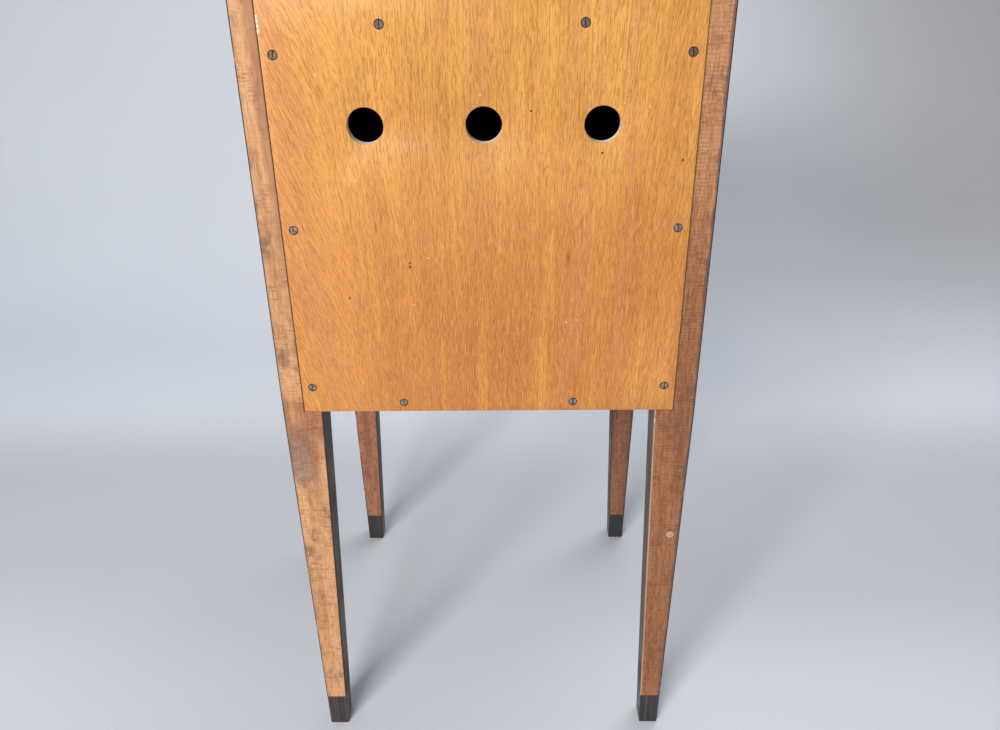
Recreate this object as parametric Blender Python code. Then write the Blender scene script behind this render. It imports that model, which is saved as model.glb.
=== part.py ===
"""Bedside cabinet on tapered legs: a shallow drawer over a ventilated cupboard, and a screwed plywood back.

Metres, +Z up. The front faces -Y and the back faces +Y, and left and right are as seen from the front.
The origin lies on the floor under the middle of the cabinet's outline, knobs included.
"""

import math

import bmesh
import bpy
from mathutils import Vector

# Case
CASE_WIDTH = 0.380  # across the outer faces of the legs
CASE_DEPTH = 0.354  # front faces to rear faces of the legs
CASE_BOTTOM = 0.410  # floor to the underside of the case, where the legs begin to taper
CASE_TOP = 0.776  # floor to the top of the legs
FRONT_SETBACK = 0.0015  # drawer, door and rails stand this far behind the front of the legs
FIT = 0.0003  # clearance between pieces that seat on each other

# Legs and feet
LEG_WIDTH = 0.037
LEG_DEPTH = 0.035
TOE_WIDTH = 0.020  # size of the leg's taper at the floor
TOE_DEPTH = 0.024
TOE_SET_IN = 0.0053  # the taper brings the outer side in by this much at the floor
ARRIS = 0.0012  # rounding of the legs' long edges
FOOT_HEIGHT = 0.042
FOOT_EASE = 0.002  # rounding of the feet's bottom edges
SPIGOT_DIAMETER = 0.010
SPIGOT_LENGTH = 0.018

# Plug in the rear face of the left rear leg
PLUG_DIAMETER = 0.0085
PLUG_DEPTH = 0.006
PLUG_HEIGHT = 0.266
PLUG_FROM_SIDE = 0.0113  # its centre from the outer side of the case

# Top board
TOP_THICKNESS = 0.018
TOP_SIDE_OVERHANG = 0.010
TOP_FRONT_OVERHANG = 0.012
TOP_EASE = 0.003

# Sides and bottom
SIDE_THICKNESS = 0.016
SIDE_SETBACK = 0.003  # the sides stand this far inside the outer faces of the legs
BOTTOM_THICKNESS = 0.019
TONGUE_THICKNESS = 0.006
TONGUE_LENGTH = 0.008
TONGUE_STOP = 0.006  # tongues end this far short of the board's edges

# Rails
TOP_RAIL_THICKNESS = 0.012
TOP_RAIL_DEPTH = 0.040
REAR_RAIL_THICKNESS = 0.018
REAR_RAIL_HEIGHT = 0.060
DIVIDER_THICKNESS = 0.016
DIVIDER_DEPTH = 0.045
TENON_LENGTH = 0.010
TENON_SHOULDER = 0.003  # on the broad faces of a rail
TENON_MARGIN = 0.008  # on the edges of a rail
REAR_TENON_HEIGHT = 0.030

# Back panel, its vents and its screws
PANEL_THICKNESS = 0.008
REBATE_WIDTH = 0.017  # the panel laps the legs by about this much
PANEL_GAP = 0.0006
VENT_DIAMETER = 0.029
VENT_SPACING = 0.0937
VENT_DROP = 0.0175  # vent centres below the divider
SCREW_ROW_HALF = 0.0775  # half the spacing of the two screws in the top and bottom rows
SCREW_FROM_EDGE = 0.0095
SCREW_FROM_TOP = 0.0515
SCREW_FROM_BOTTOM = 0.0256
SCREW_MIDDLE_RISE = 0.005  # the middle pair sits a little above half way
SCREW_LENGTH = 0.018
SCREW_HEAD_DIAMETER = 0.007
SCREW_HEAD_HEIGHT = 0.0022
SCREW_RIM = 0.0003
SCREW_SHANK_DIAMETER = 0.0035
SCREW_POINT = 0.004
SCREW_SUNK = 0.0001  # heads lie this far below the wood
SLOT_WIDTH = 0.0009
SLOT_DEPTH = 0.0009
SLOT_TURNS = (-3, 4, -12, 3, 6, 2, 5, -4, 3, -5)  # degrees from upright, one for each back screw
TOP_SCREW_LENGTH = 0.022
TOP_SCREW_INSET = 0.050  # from the ends of the kickers

# Drawer and what carries it
DRAWER_OPENING = 0.060  # height between divider and top rail
DRAWER_GAP = 0.001
DRAWER_REAR_GAP = 0.010
DRAWER_FRONT_THICKNESS = 0.018
DRAWER_SIDE_THICKNESS = 0.010
DRAWER_BACK_THICKNESS = 0.010
DRAWER_BACK_DROP = 0.006  # the back is this much lower than the sides
DRAWER_BOTTOM_THICKNESS = 0.005
DRAWER_BOTTOM_RISE = 0.008  # underside of the bottom above the lower edge of the sides
GROOVE_DEPTH = 0.004
TAILS = 2
TAIL_LAP = 0.005  # wood left in front of the dovetails
TAIL_ROOT = 0.014
TAIL_FLARE = 0.002  # a tail widens by this much on each side
RUNNER_WIDTH = 0.030
GUIDE_HEIGHT = 0.012
DUST_PANEL_THICKNESS = 0.005
STOP_HEIGHT = 0.005
STOP_DEPTH = 0.015
STOP_WIDTH = 0.025
STOP_SPREAD = 0.080  # drawer stops stand this far from the middle

# Door
DOOR_GAP = 0.0015
DOOR_THICKNESS = 0.018
STILE_WIDTH = 0.045
DOOR_RAIL_HEIGHT = 0.045
DOOR_TENON_LENGTH = 0.025
DOOR_PANEL_THICKNESS = 0.006
DOOR_STOP_SIZE = 0.012
DOOR_STOP_WIDTH = 0.040
DOOR_STOP_FROM_LEG = 0.060

# Hinges
HINGE_HEIGHT = 0.040
HINGE_FROM_END = 0.045  # middle of a hinge from the end of the door
LEAF_THICKNESS = 0.0012
LEAF_WIDTH = 0.016
KNUCKLE_DIAMETER = 0.006
PIN_DIAMETER = 0.0025
PIN_HEAD_HEIGHT = 0.0012
HINGE_PROUD = 0.001  # the pin stands this far in front of the legs

# Knobs and the turn latch
KNOB_DIAMETER = 0.024
KNOB_REACH = 0.024
KNOB_HEAD_THICKNESS = 0.014
KNOB_COLLAR_DIAMETER = 0.014
KNOB_COLLAR_HEIGHT = 0.003
KNOB_NECK_DIAMETER = 0.010
KNOB_NECK_HEIGHT = 0.0065
SPINDLE_DIAMETER = 0.009
LATCH_THICKNESS = 0.007
LATCH_WIDTH = 0.014
LATCH_BITE = 0.006  # how far the tongue enters the leg

# Facets
ROUND_STEPS = 24
VENT_STEPS = 48
SCREW_STEPS = 16
PIN_STEPS = 16
KNOB_ARC_STEPS = 9
CLEAR = 0.001  # cutters run this far past the faces they open
WELD = 0.000001

# Places that follow from the sizes above
OVERALL_DEPTH = CASE_DEPTH + max(KNOB_REACH - FRONT_SETBACK, TOP_FRONT_OVERHANG)
REAR_Y = OVERALL_DEPTH / 2
FRONT_Y = REAR_Y - CASE_DEPTH
FACE_Y = FRONT_Y + FRONT_SETBACK
OPENING_HALF = CASE_WIDTH / 2 - LEG_WIDTH
SIDE_OUTER = CASE_WIDTH / 2 - SIDE_SETBACK
SIDE_INNER = SIDE_OUTER - SIDE_THICKNESS
SIDE_FRONT = FRONT_Y + LEG_DEPTH + FIT
SIDE_REAR = REAR_Y - LEG_DEPTH - FIT
PANEL_FRONT = REAR_Y - PANEL_THICKNESS
PANEL_HALF = OPENING_HALF + REBATE_WIDTH - PANEL_GAP
INNER_REAR = PANEL_FRONT - FIT
CUPBOARD_FLOOR = CASE_BOTTOM + BOTTOM_THICKNESS
OPENING_TOP = CASE_TOP - TOP_RAIL_THICKNESS
DIVIDER_TOP = OPENING_TOP - DRAWER_OPENING
DIVIDER_BOTTOM = DIVIDER_TOP - DIVIDER_THICKNESS
DIVIDER_REAR = FACE_Y + DIVIDER_DEPTH
RUNNER_INNER = SIDE_INNER - FIT - RUNNER_WIDTH
VENT_HEIGHT = DIVIDER_BOTTOM - VENT_DROP
DRAWER_HALF = OPENING_HALF - DRAWER_GAP
DRAWER_INNER = DRAWER_HALF - DRAWER_SIDE_THICKNESS
DRAWER_SHOULDER = FACE_Y + DRAWER_FRONT_THICKNESS
DRAWER_REAR = INNER_REAR - REAR_RAIL_THICKNESS - DRAWER_REAR_GAP
DRAWER_LOW = DIVIDER_TOP + FIT
DRAWER_HIGH = OPENING_TOP - 2 * DRAWER_GAP
DRAWER_FLOOR = DRAWER_LOW + DRAWER_BOTTOM_RISE + DRAWER_BOTTOM_THICKNESS
DOOR_HALF = OPENING_HALF - DOOR_GAP
DOOR_LOW = CUPBOARD_FLOOR + DOOR_GAP
DOOR_HIGH = DIVIDER_BOTTOM - DOOR_GAP
DOOR_BACK = FACE_Y + DOOR_THICKNESS
HINGE_X = -(OPENING_HALF - DOOR_GAP / 2)
HINGE_Y = FRONT_Y - HINGE_PROUD
KNUCKLE_RADIUS = KNUCKLE_DIAMETER / 2
LATCH_X = DOOR_HALF - STILE_WIDTH / 2
LATCH_Z = (DOOR_LOW + DOOR_HIGH) / 2
LATCH_REACH = STILE_WIDTH / 2 + DOOR_GAP + LATCH_BITE

SIDES = {"left": -1, "right": 1}
ENDS = {"front": -1, "rear": 1}

# Base colour, roughness and metallic value of each material
FINISHES = {
    "oak_veneer": ((0.600, 0.290, 0.080), 0.38, 0.0),
    "brown_hardwood": ((0.330, 0.150, 0.075), 0.50, 0.0),
    "dark_polish": ((0.090, 0.045, 0.028), 0.35, 0.0),
    "black_wood": ((0.022, 0.019, 0.019), 0.35, 0.0),
    "pale_wood": ((0.560, 0.370, 0.200), 0.60, 0.0),
    "aged_steel": ((0.280, 0.265, 0.250), 0.45, 1.0),
    "brass": ((0.640, 0.440, 0.160), 0.35, 1.0),
}


def clear_scene():
    for old in list(bpy.data.objects):
        bpy.data.objects.remove(old, do_unlink=True)


def finish(piece, kind):
    """Gives a piece its material, made the first time that it is asked for."""
    material = bpy.data.materials.get(kind)
    if material is None:
        colour, roughness, metallic = FINISHES[kind]
        material = bpy.data.materials.new(kind)
        material.use_nodes = True
        shader = material.node_tree.nodes["Principled BSDF"]
        shader.inputs["Base Color"].default_value = (*colour, 1.0)
        shader.inputs["Roughness"].default_value = roughness
        shader.inputs["Metallic"].default_value = metallic
    if not piece.data.materials:
        piece.data.materials.append(material)
    return piece


# Placing


def world_location(thing):
    """Where an object stands in the world: nothing that carries another is turned at rest."""
    place = Vector()
    while thing:
        place += thing.location
        thing = thing.parent
    return place


def attach(thing, parent, location):
    thing.parent = parent
    thing.location = Vector(location) - world_location(parent)
    return thing


def carrier(name, location, parent=None):
    """An empty on a joint's axis that carries the pieces which move together."""
    empty = bpy.data.objects.new(name, None)
    empty.empty_display_size = 0.02
    bpy.context.scene.collection.objects.link(empty)
    return attach(empty, parent, location)


def put(name, mesh, location, parent=None, turn=(0, 0, 0)):
    piece = bpy.data.objects.new(name, mesh)
    bpy.context.scene.collection.objects.link(piece)
    piece.rotation_euler = turn
    return attach(piece, parent, location)


def to_mesh(name, bm):
    bmesh.ops.recalc_face_normals(bm, faces=bm.faces)
    mesh = bpy.data.meshes.new(name)
    bm.to_mesh(mesh)
    bm.free()
    return mesh


def smooth(mesh):
    mesh.shade_smooth()
    mesh.set_sharp_from_angle(angle=math.radians(30))
    return mesh


# Basic solids


def block(name, x, y, z, parent=None):
    """A square-edged board from its extent along each axis."""
    spans = [sorted(extent) for extent in (x, y, z)]
    bm = bmesh.new()
    bmesh.ops.create_cube(bm, size=1.0)
    bmesh.ops.scale(bm, vec=[high - low for low, high in spans], verts=bm.verts)
    centre = [(low + high) / 2 for low, high in spans]
    return put(name, to_mesh(name, bm), centre, parent)


def extruded(name, outline, axis, extent, parent=None):
    """A board with an outline: points across the two other axes, drawn out along one."""
    across = [i for i in range(3) if i != "XYZ".index(axis)]
    along = "XYZ".index(axis)
    low, high = sorted(extent)
    centre = Vector()
    centre[along] = (low + high) / 2
    for i, values in zip(across, zip(*outline)):
        centre[i] = (min(values) + max(values)) / 2
    bm = bmesh.new()
    corners = []
    for point in outline:
        corner = Vector()
        corner[along] = low
        for i, value in zip(across, point):
            corner[i] = value
        corners.append(bm.verts.new(corner - centre))
    face = bm.faces.new(corners)
    grown = bmesh.ops.extrude_face_region(bm, geom=[face])["geom"]
    moved = [part for part in grown if isinstance(part, bmesh.types.BMVert)]
    shift = Vector()
    shift[along] = high - low
    bmesh.ops.translate(bm, verts=moved, vec=shift)
    return put(name, to_mesh(name, bm), centre, parent)


def turned_mesh(name, profile, steps):
    """A turned solid about its own Z axis, from (radius, height) points that start and end on the axis."""
    bm = bmesh.new()
    points = [bm.verts.new((radius, 0, height)) for radius, height in profile]
    edges = [bm.edges.new(pair) for pair in zip(points, points[1:])]
    bmesh.ops.spin(
        bm, geom=points + edges, cent=(0, 0, 0), axis=(0, 0, 1), angle=math.tau, steps=steps, use_merge=True
    )
    bmesh.ops.remove_doubles(bm, verts=bm.verts, dist=WELD)
    return smooth(to_mesh(name, bm))


def rod_profile(radius, low, high):
    return [(0, low), (radius, low), (radius, high), (0, high)]


TO_FRONT = (math.pi / 2, 0, 0)  # turns a piece's own Z axis to -Y
TO_REAR = (-math.pi / 2, 0, 0)  # turns a piece's own Z axis to +Y
UPSIDE_DOWN = (math.pi, 0, 0)


# Joinery


def guide(tool):
    tool.hide_render = True
    tool.display_type = "WIRE"
    return tool


def shape(piece, tool, operation):
    if tool.parent is None:
        attach(tool, piece.parent, tool.location)
    modifier = piece.modifiers.new(tool.name, "BOOLEAN")
    modifier.operation = operation
    modifier.object = guide(tool)


def cut(tool, *pieces):
    for piece in pieces:
        shape(piece, tool, "DIFFERENCE")


def socket(name, x, y, z, into):
    """Cuts the place of a board or tongue, with clearance all round, out of the pieces that hold it."""
    x, y, z = [(min(extent) - FIT, max(extent) + FIT) for extent in (x, y, z)]
    cut(block(f"socket_{name}", x, y, z), *into)


def tongue(piece, name, x, y, z, into):
    """Adds a tongue or a pair of tenons to a board and cuts what they enter."""
    shape(piece, block(f"tongue_{name}", x, y, z), "UNION")
    socket(name, x, y, z, into)


def middle(extent, thickness):
    centre = sum(extent) / 2
    return (centre - thickness / 2, centre + thickness / 2)


# Legs and feet


def leg_corners(side, end, height, inset=0.0):
    """Corners of a leg's section: square in the case, tapered below it, less an inset all round."""
    taper = max(0.0, 1.0 - height / CASE_BOTTOM)
    outer = CASE_WIDTH / 2 - TOE_SET_IN * taper - inset
    inner = OPENING_HALF + (LEG_WIDTH - TOE_SET_IN - TOE_WIDTH) * taper + inset
    depth = LEG_DEPTH - (LEG_DEPTH - TOE_DEPTH) * taper
    outside = REAR_Y if end > 0 else FRONT_Y
    face = outside - end * inset
    back = outside - end * (depth - inset)
    return [(side * x, y, height) for x, y in ((outer, face), (inner, face), (inner, back), (outer, back))]


def rounded_base(radius):
    """Heights and insets of the sections that round a foot's bottom edges."""
    angles = [math.radians(degrees) for degrees in (0, 45, 90)]
    return [(radius * (1 - math.cos(angle)), radius * (1 - math.sin(angle))) for angle in angles]


def post(name, side, end, sections):
    """A length of leg through sections at (height, inset), with its long edges rounded."""
    rings = [leg_corners(side, end, height, inset) for height, inset in sections]
    foot = sum((Vector(corner) for corner in rings[0]), Vector()) / 4
    bm = bmesh.new()
    loops = [[bm.verts.new(Vector(corner) - foot) for corner in ring] for ring in rings]
    bm.faces.new(loops[0])
    bm.faces.new(loops[-1])
    long_edges = []
    for lower, upper in zip(loops, loops[1:]):
        for i in range(4):
            bm.faces.new((lower[i - 1], lower[i], upper[i], upper[i - 1]))
            long_edges.append(bm.edges.get((lower[i], upper[i])))
    bmesh.ops.recalc_face_normals(bm, faces=bm.faces)
    bmesh.ops.bevel(bm, geom=long_edges, offset=ARRIS, segments=2, profile=0.5, affect="EDGES")
    return put(name, to_mesh(name, bm), foot)


def build_legs():
    """Four legs, each on a foot whose spigot enters it from below."""
    legs = {}
    for end_name, end in ENDS.items():
        for side_name, side in SIDES.items():
            place = f"{end_name}_{side_name}"
            leg = post(f"leg_{place}", side, end, [(FOOT_HEIGHT, 0.0), (CASE_BOTTOM, 0.0), (CASE_TOP, 0.0)])
            foot = post(f"foot_{place}", side, end, rounded_base(FOOT_EASE) + [(FOOT_HEIGHT - FIT, 0.0)])
            seat = sum((Vector(corner) for corner in leg_corners(side, end, FOOT_HEIGHT)), Vector()) / 4
            spigot = rod_profile(SPIGOT_DIAMETER / 2, -FOOT_HEIGHT / 2, SPIGOT_LENGTH)
            bore = rod_profile(SPIGOT_DIAMETER / 2 + FIT, -CLEAR, SPIGOT_LENGTH + FIT)
            shape(foot, put(f"spigot_{place}", turned_mesh("spigot", spigot, PIN_STEPS), seat), "UNION")
            cut(put(f"bore_{place}", turned_mesh("bore", bore, PIN_STEPS), seat), leg)
            legs[place] = finish(leg, "brown_hardwood")
            finish(foot, "black_wood")
    return legs


def build_leg_plug(leg):
    """A round plug of paler wood, level with the rear face of a leg."""
    place = (-(CASE_WIDTH / 2 - PLUG_FROM_SIDE), REAR_Y, PLUG_HEIGHT)
    plug = turned_mesh("leg_plug", rod_profile(PLUG_DIAMETER / 2, -PLUG_DEPTH, 0), ROUND_STEPS)
    hole_profile = rod_profile(PLUG_DIAMETER / 2 + FIT, -PLUG_DEPTH - FIT, CLEAR)
    hole = turned_mesh("plug_hole", hole_profile, ROUND_STEPS)
    finish(put("leg_plug", plug, place, turn=TO_REAR), "pale_wood")
    cut(put("plug_hole", hole, place, turn=TO_REAR), leg)


# Case


def build_sides(legs):
    """Two side boards, tongued into the front and rear legs."""
    sides = {}
    for name, side in SIDES.items():
        x = (side * SIDE_INNER, side * SIDE_OUTER)
        board = block(f"side_{name}", x, (SIDE_FRONT, SIDE_REAR), (CASE_BOTTOM, CASE_TOP))
        tongue(
            board,
            f"side_{name}",
            middle(x, TONGUE_THICKNESS),
            (SIDE_FRONT - TONGUE_LENGTH, SIDE_REAR + TONGUE_LENGTH),
            (CASE_BOTTOM + TONGUE_STOP, CASE_TOP - TONGUE_STOP),
            (legs[f"front_{name}"], legs[f"rear_{name}"]),
        )
        sides[name] = finish(board, "dark_polish")
    return sides


def build_bottom(sides):
    """The cupboard floor: notched round the legs and tongued into the sides."""
    wide = SIDE_INNER - FIT
    narrow = OPENING_HALF - FIT
    right = [
        (narrow, FACE_Y),
        (narrow, SIDE_FRONT),
        (wide, SIDE_FRONT),
        (wide, SIDE_REAR),
        (narrow, SIDE_REAR),
        (narrow, INNER_REAR),
    ]
    outline = right + [(-x, y) for x, y in reversed(right)]
    height = (CASE_BOTTOM, CUPBOARD_FLOOR)
    board = extruded("bottom_board", outline, "Z", height)
    tongue(
        board,
        "bottom",
        (-wide - TONGUE_LENGTH, wide + TONGUE_LENGTH),
        (SIDE_FRONT + TONGUE_STOP, SIDE_REAR - TONGUE_STOP),
        middle(height, TONGUE_THICKNESS),
        sides.values(),
    )
    return finish(board, "brown_hardwood")


def build_rails(legs):
    """Top front rail, drawer divider and top rear rail, each with a tenon in a leg at either end."""
    length = (-OPENING_HALF + FIT, OPENING_HALF - FIT)
    tenons = (-OPENING_HALF - TENON_LENGTH, OPENING_HALF + TENON_LENGTH)
    front_legs = (legs["front_left"], legs["front_right"])
    rear_legs = (legs["rear_left"], legs["rear_right"])
    front_tenon_depth = (FRONT_Y + TENON_MARGIN, FRONT_Y + LEG_DEPTH - TENON_MARGIN)
    heights = {"top_front_rail": (OPENING_TOP, CASE_TOP), "drawer_divider": (DIVIDER_BOTTOM, DIVIDER_TOP)}
    depths = {"top_front_rail": TOP_RAIL_DEPTH, "drawer_divider": DIVIDER_DEPTH}
    rails = {}
    for name, z in heights.items():
        rail = block(name, length, (FACE_Y, FACE_Y + depths[name]), z)
        tenon_z = (z[0] + TENON_SHOULDER, z[1] - TENON_SHOULDER)
        tongue(rail, name, tenons, front_tenon_depth, tenon_z, front_legs)
        rails[name] = finish(rail, "dark_polish")
    depth = (INNER_REAR - REAR_RAIL_THICKNESS, INNER_REAR)
    rail = block("top_rear_rail", length, depth, (CASE_TOP - REAR_RAIL_HEIGHT, CASE_TOP))
    tenon_y = (depth[0] + TENON_SHOULDER, depth[1] - TENON_SHOULDER)
    tenon_z = (CASE_TOP - TENON_MARGIN - REAR_TENON_HEIGHT, CASE_TOP - TENON_MARGIN)
    tongue(rail, "top_rear_rail", tenons, tenon_y, tenon_z, rear_legs)
    rails["top_rear_rail"] = finish(rail, "pale_wood")
    return rails


def build_drawer_carriers(divider):
    """Runners with their guides, kickers, the dust panel between them and the drawer stops."""
    outer = SIDE_INNER - FIT
    runners = []
    kickers = []
    for name, side in SIDES.items():
        section = [
            (RUNNER_INNER, DIVIDER_BOTTOM),
            (outer, DIVIDER_BOTTOM),
            (outer, DIVIDER_TOP + GUIDE_HEIGHT),
            (OPENING_HALF, DIVIDER_TOP + GUIDE_HEIGHT),
            (OPENING_HALF, DIVIDER_TOP),
            (RUNNER_INNER, DIVIDER_TOP),
        ]
        section = [(side * x, z) for x, z in section]
        runner = extruded(f"drawer_runner_{name}", section, "Y", (DIVIDER_REAR + FIT, SIDE_REAR))
        kicker_front = max(FACE_Y + TOP_RAIL_DEPTH + FIT, SIDE_FRONT)
        kicker_x = (side * RUNNER_INNER, side * outer)
        kicker = block(f"kicker_{name}", kicker_x, (kicker_front, SIDE_REAR), (OPENING_TOP, CASE_TOP))
        runners.append(finish(runner, "pale_wood"))
        kickers.append(finish(kicker, "pale_wood"))
        stop_x = middle((side * STOP_SPREAD, side * STOP_SPREAD), STOP_WIDTH)
        stop_y = (DRAWER_SHOULDER + FIT, DRAWER_SHOULDER + FIT + STOP_DEPTH)
        stop_z = (DIVIDER_TOP + FIT, DIVIDER_TOP + FIT + STOP_HEIGHT)
        finish(block(f"drawer_stop_{name}", stop_x, stop_y, stop_z), "pale_wood")
    x = (-RUNNER_INNER - GROOVE_DEPTH, RUNNER_INNER + GROOVE_DEPTH)
    y = (DIVIDER_REAR - GROOVE_DEPTH, INNER_REAR)
    z = middle((DIVIDER_BOTTOM, DIVIDER_TOP), DUST_PANEL_THICKNESS)
    finish(block("dust_panel", x, y, z), "pale_wood")
    socket("dust_panel", x, y, z, (divider, *runners))
    return kickers


def build_top():
    """The top board, level with the back of the case and proud of its front and sides."""
    half = CASE_WIDTH / 2 + TOP_SIDE_OVERHANG
    low = CASE_TOP + FIT
    y = (FRONT_Y - TOP_FRONT_OVERHANG, REAR_Y)
    board = block("top_board", (-half, half), y, (low, low + TOP_THICKNESS))
    bevel = board.modifiers.new("eased_edges", "BEVEL")
    bevel.width = TOP_EASE
    bevel.segments = 2
    return finish(board, "dark_polish")


# Back panel and screws


def screw_profile(length, grow=0.0, above=0.0):
    """Half section of a countersunk screw, from its point up to its head, or of the hole that it fills."""
    head = SCREW_HEAD_DIAMETER / 2 + grow
    shank = SCREW_SHANK_DIAMETER / 2 + grow
    return [
        (0, -length - grow),
        (shank, SCREW_POINT - length),
        (shank, -SCREW_HEAD_HEIGHT),
        (head, -SCREW_RIM),
        (head, above),
        (0, above),
    ]


def slotted_screw_mesh(name, length):
    body = put(name, turned_mesh(name, screw_profile(length), SCREW_STEPS), (0, 0, 0))
    across = (-SCREW_HEAD_DIAMETER, SCREW_HEAD_DIAMETER)
    slot = block("slot", middle((0, 0), SLOT_WIDTH), across, (-SLOT_DEPTH, CLEAR))
    cut(slot, body)
    finished = body.evaluated_get(bpy.context.evaluated_depsgraph_get())
    mesh = bpy.data.meshes.new_from_object(finished)
    for spent in (body, slot):
        bpy.data.objects.remove(spent)
    return mesh


def drive_screw(name, mesh, length, place, turn, through):
    """Sets a screw in a countersunk hole that runs through one piece into the next."""
    finish(put(name, mesh, place, turn=turn), "aged_steel")
    hole = turned_mesh(f"hole_{name}", screw_profile(length, FIT, CLEAR), SCREW_STEPS)
    cut(put(f"hole_{name}", hole, place, turn=turn), *through)


def build_back(legs, rear_rail, bottom):
    """The plywood back, flush in the rebates of the rear legs, with three vents and ten screws."""
    panel = block("back_panel", (-PANEL_HALF, PANEL_HALF), (PANEL_FRONT, REAR_Y), (CASE_BOTTOM, CASE_TOP))
    finish(panel, "oak_veneer")
    for name, side in SIDES.items():
        rebate_x = (side * (OPENING_HALF - CLEAR), side * (PANEL_HALF + PANEL_GAP))
        rebate_y = (INNER_REAR, REAR_Y + CLEAR)
        rebate_z = (CASE_BOTTOM - FIT, CASE_TOP + CLEAR)
        cut(block(f"rebate_{name}", rebate_x, rebate_y, rebate_z), legs[f"rear_{name}"])
    vent = turned_mesh("vent", rod_profile(VENT_DIAMETER / 2, -PANEL_THICKNESS - CLEAR, CLEAR), VENT_STEPS)
    for i in (-1, 0, 1):
        cut(put(f"vent_{i + 2}", vent, (i * VENT_SPACING, REAR_Y, VENT_HEIGHT), turn=TO_REAR), panel)
    edge = PANEL_HALF - SCREW_FROM_EDGE
    high = CASE_TOP - SCREW_FROM_TOP
    low = CASE_BOTTOM + SCREW_FROM_BOTTOM
    rows = [
        (SCREW_ROW_HALF, CASE_TOP - REAR_RAIL_HEIGHT / 2, (rear_rail, rear_rail)),
        (edge, high, (legs["rear_right"], legs["rear_left"])),
        (edge, (high + low) / 2 + SCREW_MIDDLE_RISE, (legs["rear_right"], legs["rear_left"])),
        (edge, low, (legs["rear_right"], legs["rear_left"])),
        (SCREW_ROW_HALF, CASE_BOTTOM + BOTTOM_THICKNESS / 2, (bottom, bottom)),
    ]
    mesh = slotted_screw_mesh("back_screw", SCREW_LENGTH)
    turns = iter(SLOT_TURNS)
    count = 0
    for x, z, holders in rows:
        for side, holder in zip((1, -1), holders):
            count += 1
            turn = (TO_REAR[0], math.radians(next(turns)), 0)
            place = (side * x, REAR_Y - SCREW_SUNK, z)
            drive_screw(f"back_screw_{count:02d}", mesh, SCREW_LENGTH, place, turn, (panel, holder))


def fix_top(kickers, top):
    """Four screws, driven up through the kickers, hold the top board down."""
    mesh = slotted_screw_mesh("top_screw", TOP_SCREW_LENGTH)
    x = (RUNNER_INNER + SIDE_INNER - FIT) / 2
    ends = (SIDE_FRONT + TOP_SCREW_INSET, SIDE_REAR - TOP_SCREW_INSET)
    for (side_name, side), kicker in zip(SIDES.items(), kickers):
        for end_name, y in zip(ENDS, ends):
            place = (side * x, y, OPENING_TOP + SCREW_SUNK)
            name = f"top_screw_{end_name}_{side_name}"
            drive_screw(name, mesh, TOP_SCREW_LENGTH, place, UPSIDE_DOWN, (kicker, top))


# Knobs


def knob_mesh(name, spigot_length):
    """A turned knob that stands on the wood at height 0, with a round spigot below it."""
    spigot = SPINDLE_DIAMETER / 2
    head_centre = KNOB_REACH - KNOB_HEAD_THICKNESS / 2
    profile = [
        (0, -spigot_length),
        (spigot, -spigot_length),
        (spigot, FIT),
        (KNOB_COLLAR_DIAMETER / 2, FIT),
        (KNOB_COLLAR_DIAMETER / 2, KNOB_COLLAR_HEIGHT),
        (KNOB_NECK_DIAMETER / 2, KNOB_NECK_HEIGHT),
    ]
    first, last = math.radians(-60), math.radians(90)
    for i in range(KNOB_ARC_STEPS):
        angle = first + (last - first) * i / KNOB_ARC_STEPS
        height = head_centre + KNOB_HEAD_THICKNESS / 2 * math.sin(angle)
        profile.append((KNOB_DIAMETER / 2 * math.cos(angle), height))
    profile.append((0, KNOB_REACH))
    return turned_mesh(name, profile, ROUND_STEPS)


def bore_mesh(name, length):
    """The hole for a knob's spigot or spindle."""
    return turned_mesh(name, rod_profile(SPINDLE_DIAMETER / 2 + FIT, -length - CLEAR, CLEAR), ROUND_STEPS)


# Drawer


def tail_heights():
    """Middles of the dovetails, spread evenly over the side's height."""
    pitch = (DRAWER_HIGH - DRAWER_LOW) / TAILS
    return [DRAWER_LOW + pitch * (i + 0.5) for i in range(TAILS)]


def tail_outline(centre, grow=0.0, behind=0.0):
    """One dovetail seen from the side, as (y, z) points: narrow at its shoulder and wide at its end."""
    root = TAIL_ROOT / 2 + grow
    tip = root + TAIL_FLARE
    shoulder = DRAWER_SHOULDER + behind
    end = FACE_Y + TAIL_LAP - grow
    return [(shoulder, centre - root), (end, centre - tip), (end, centre + tip), (shoulder, centre + root)]


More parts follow.
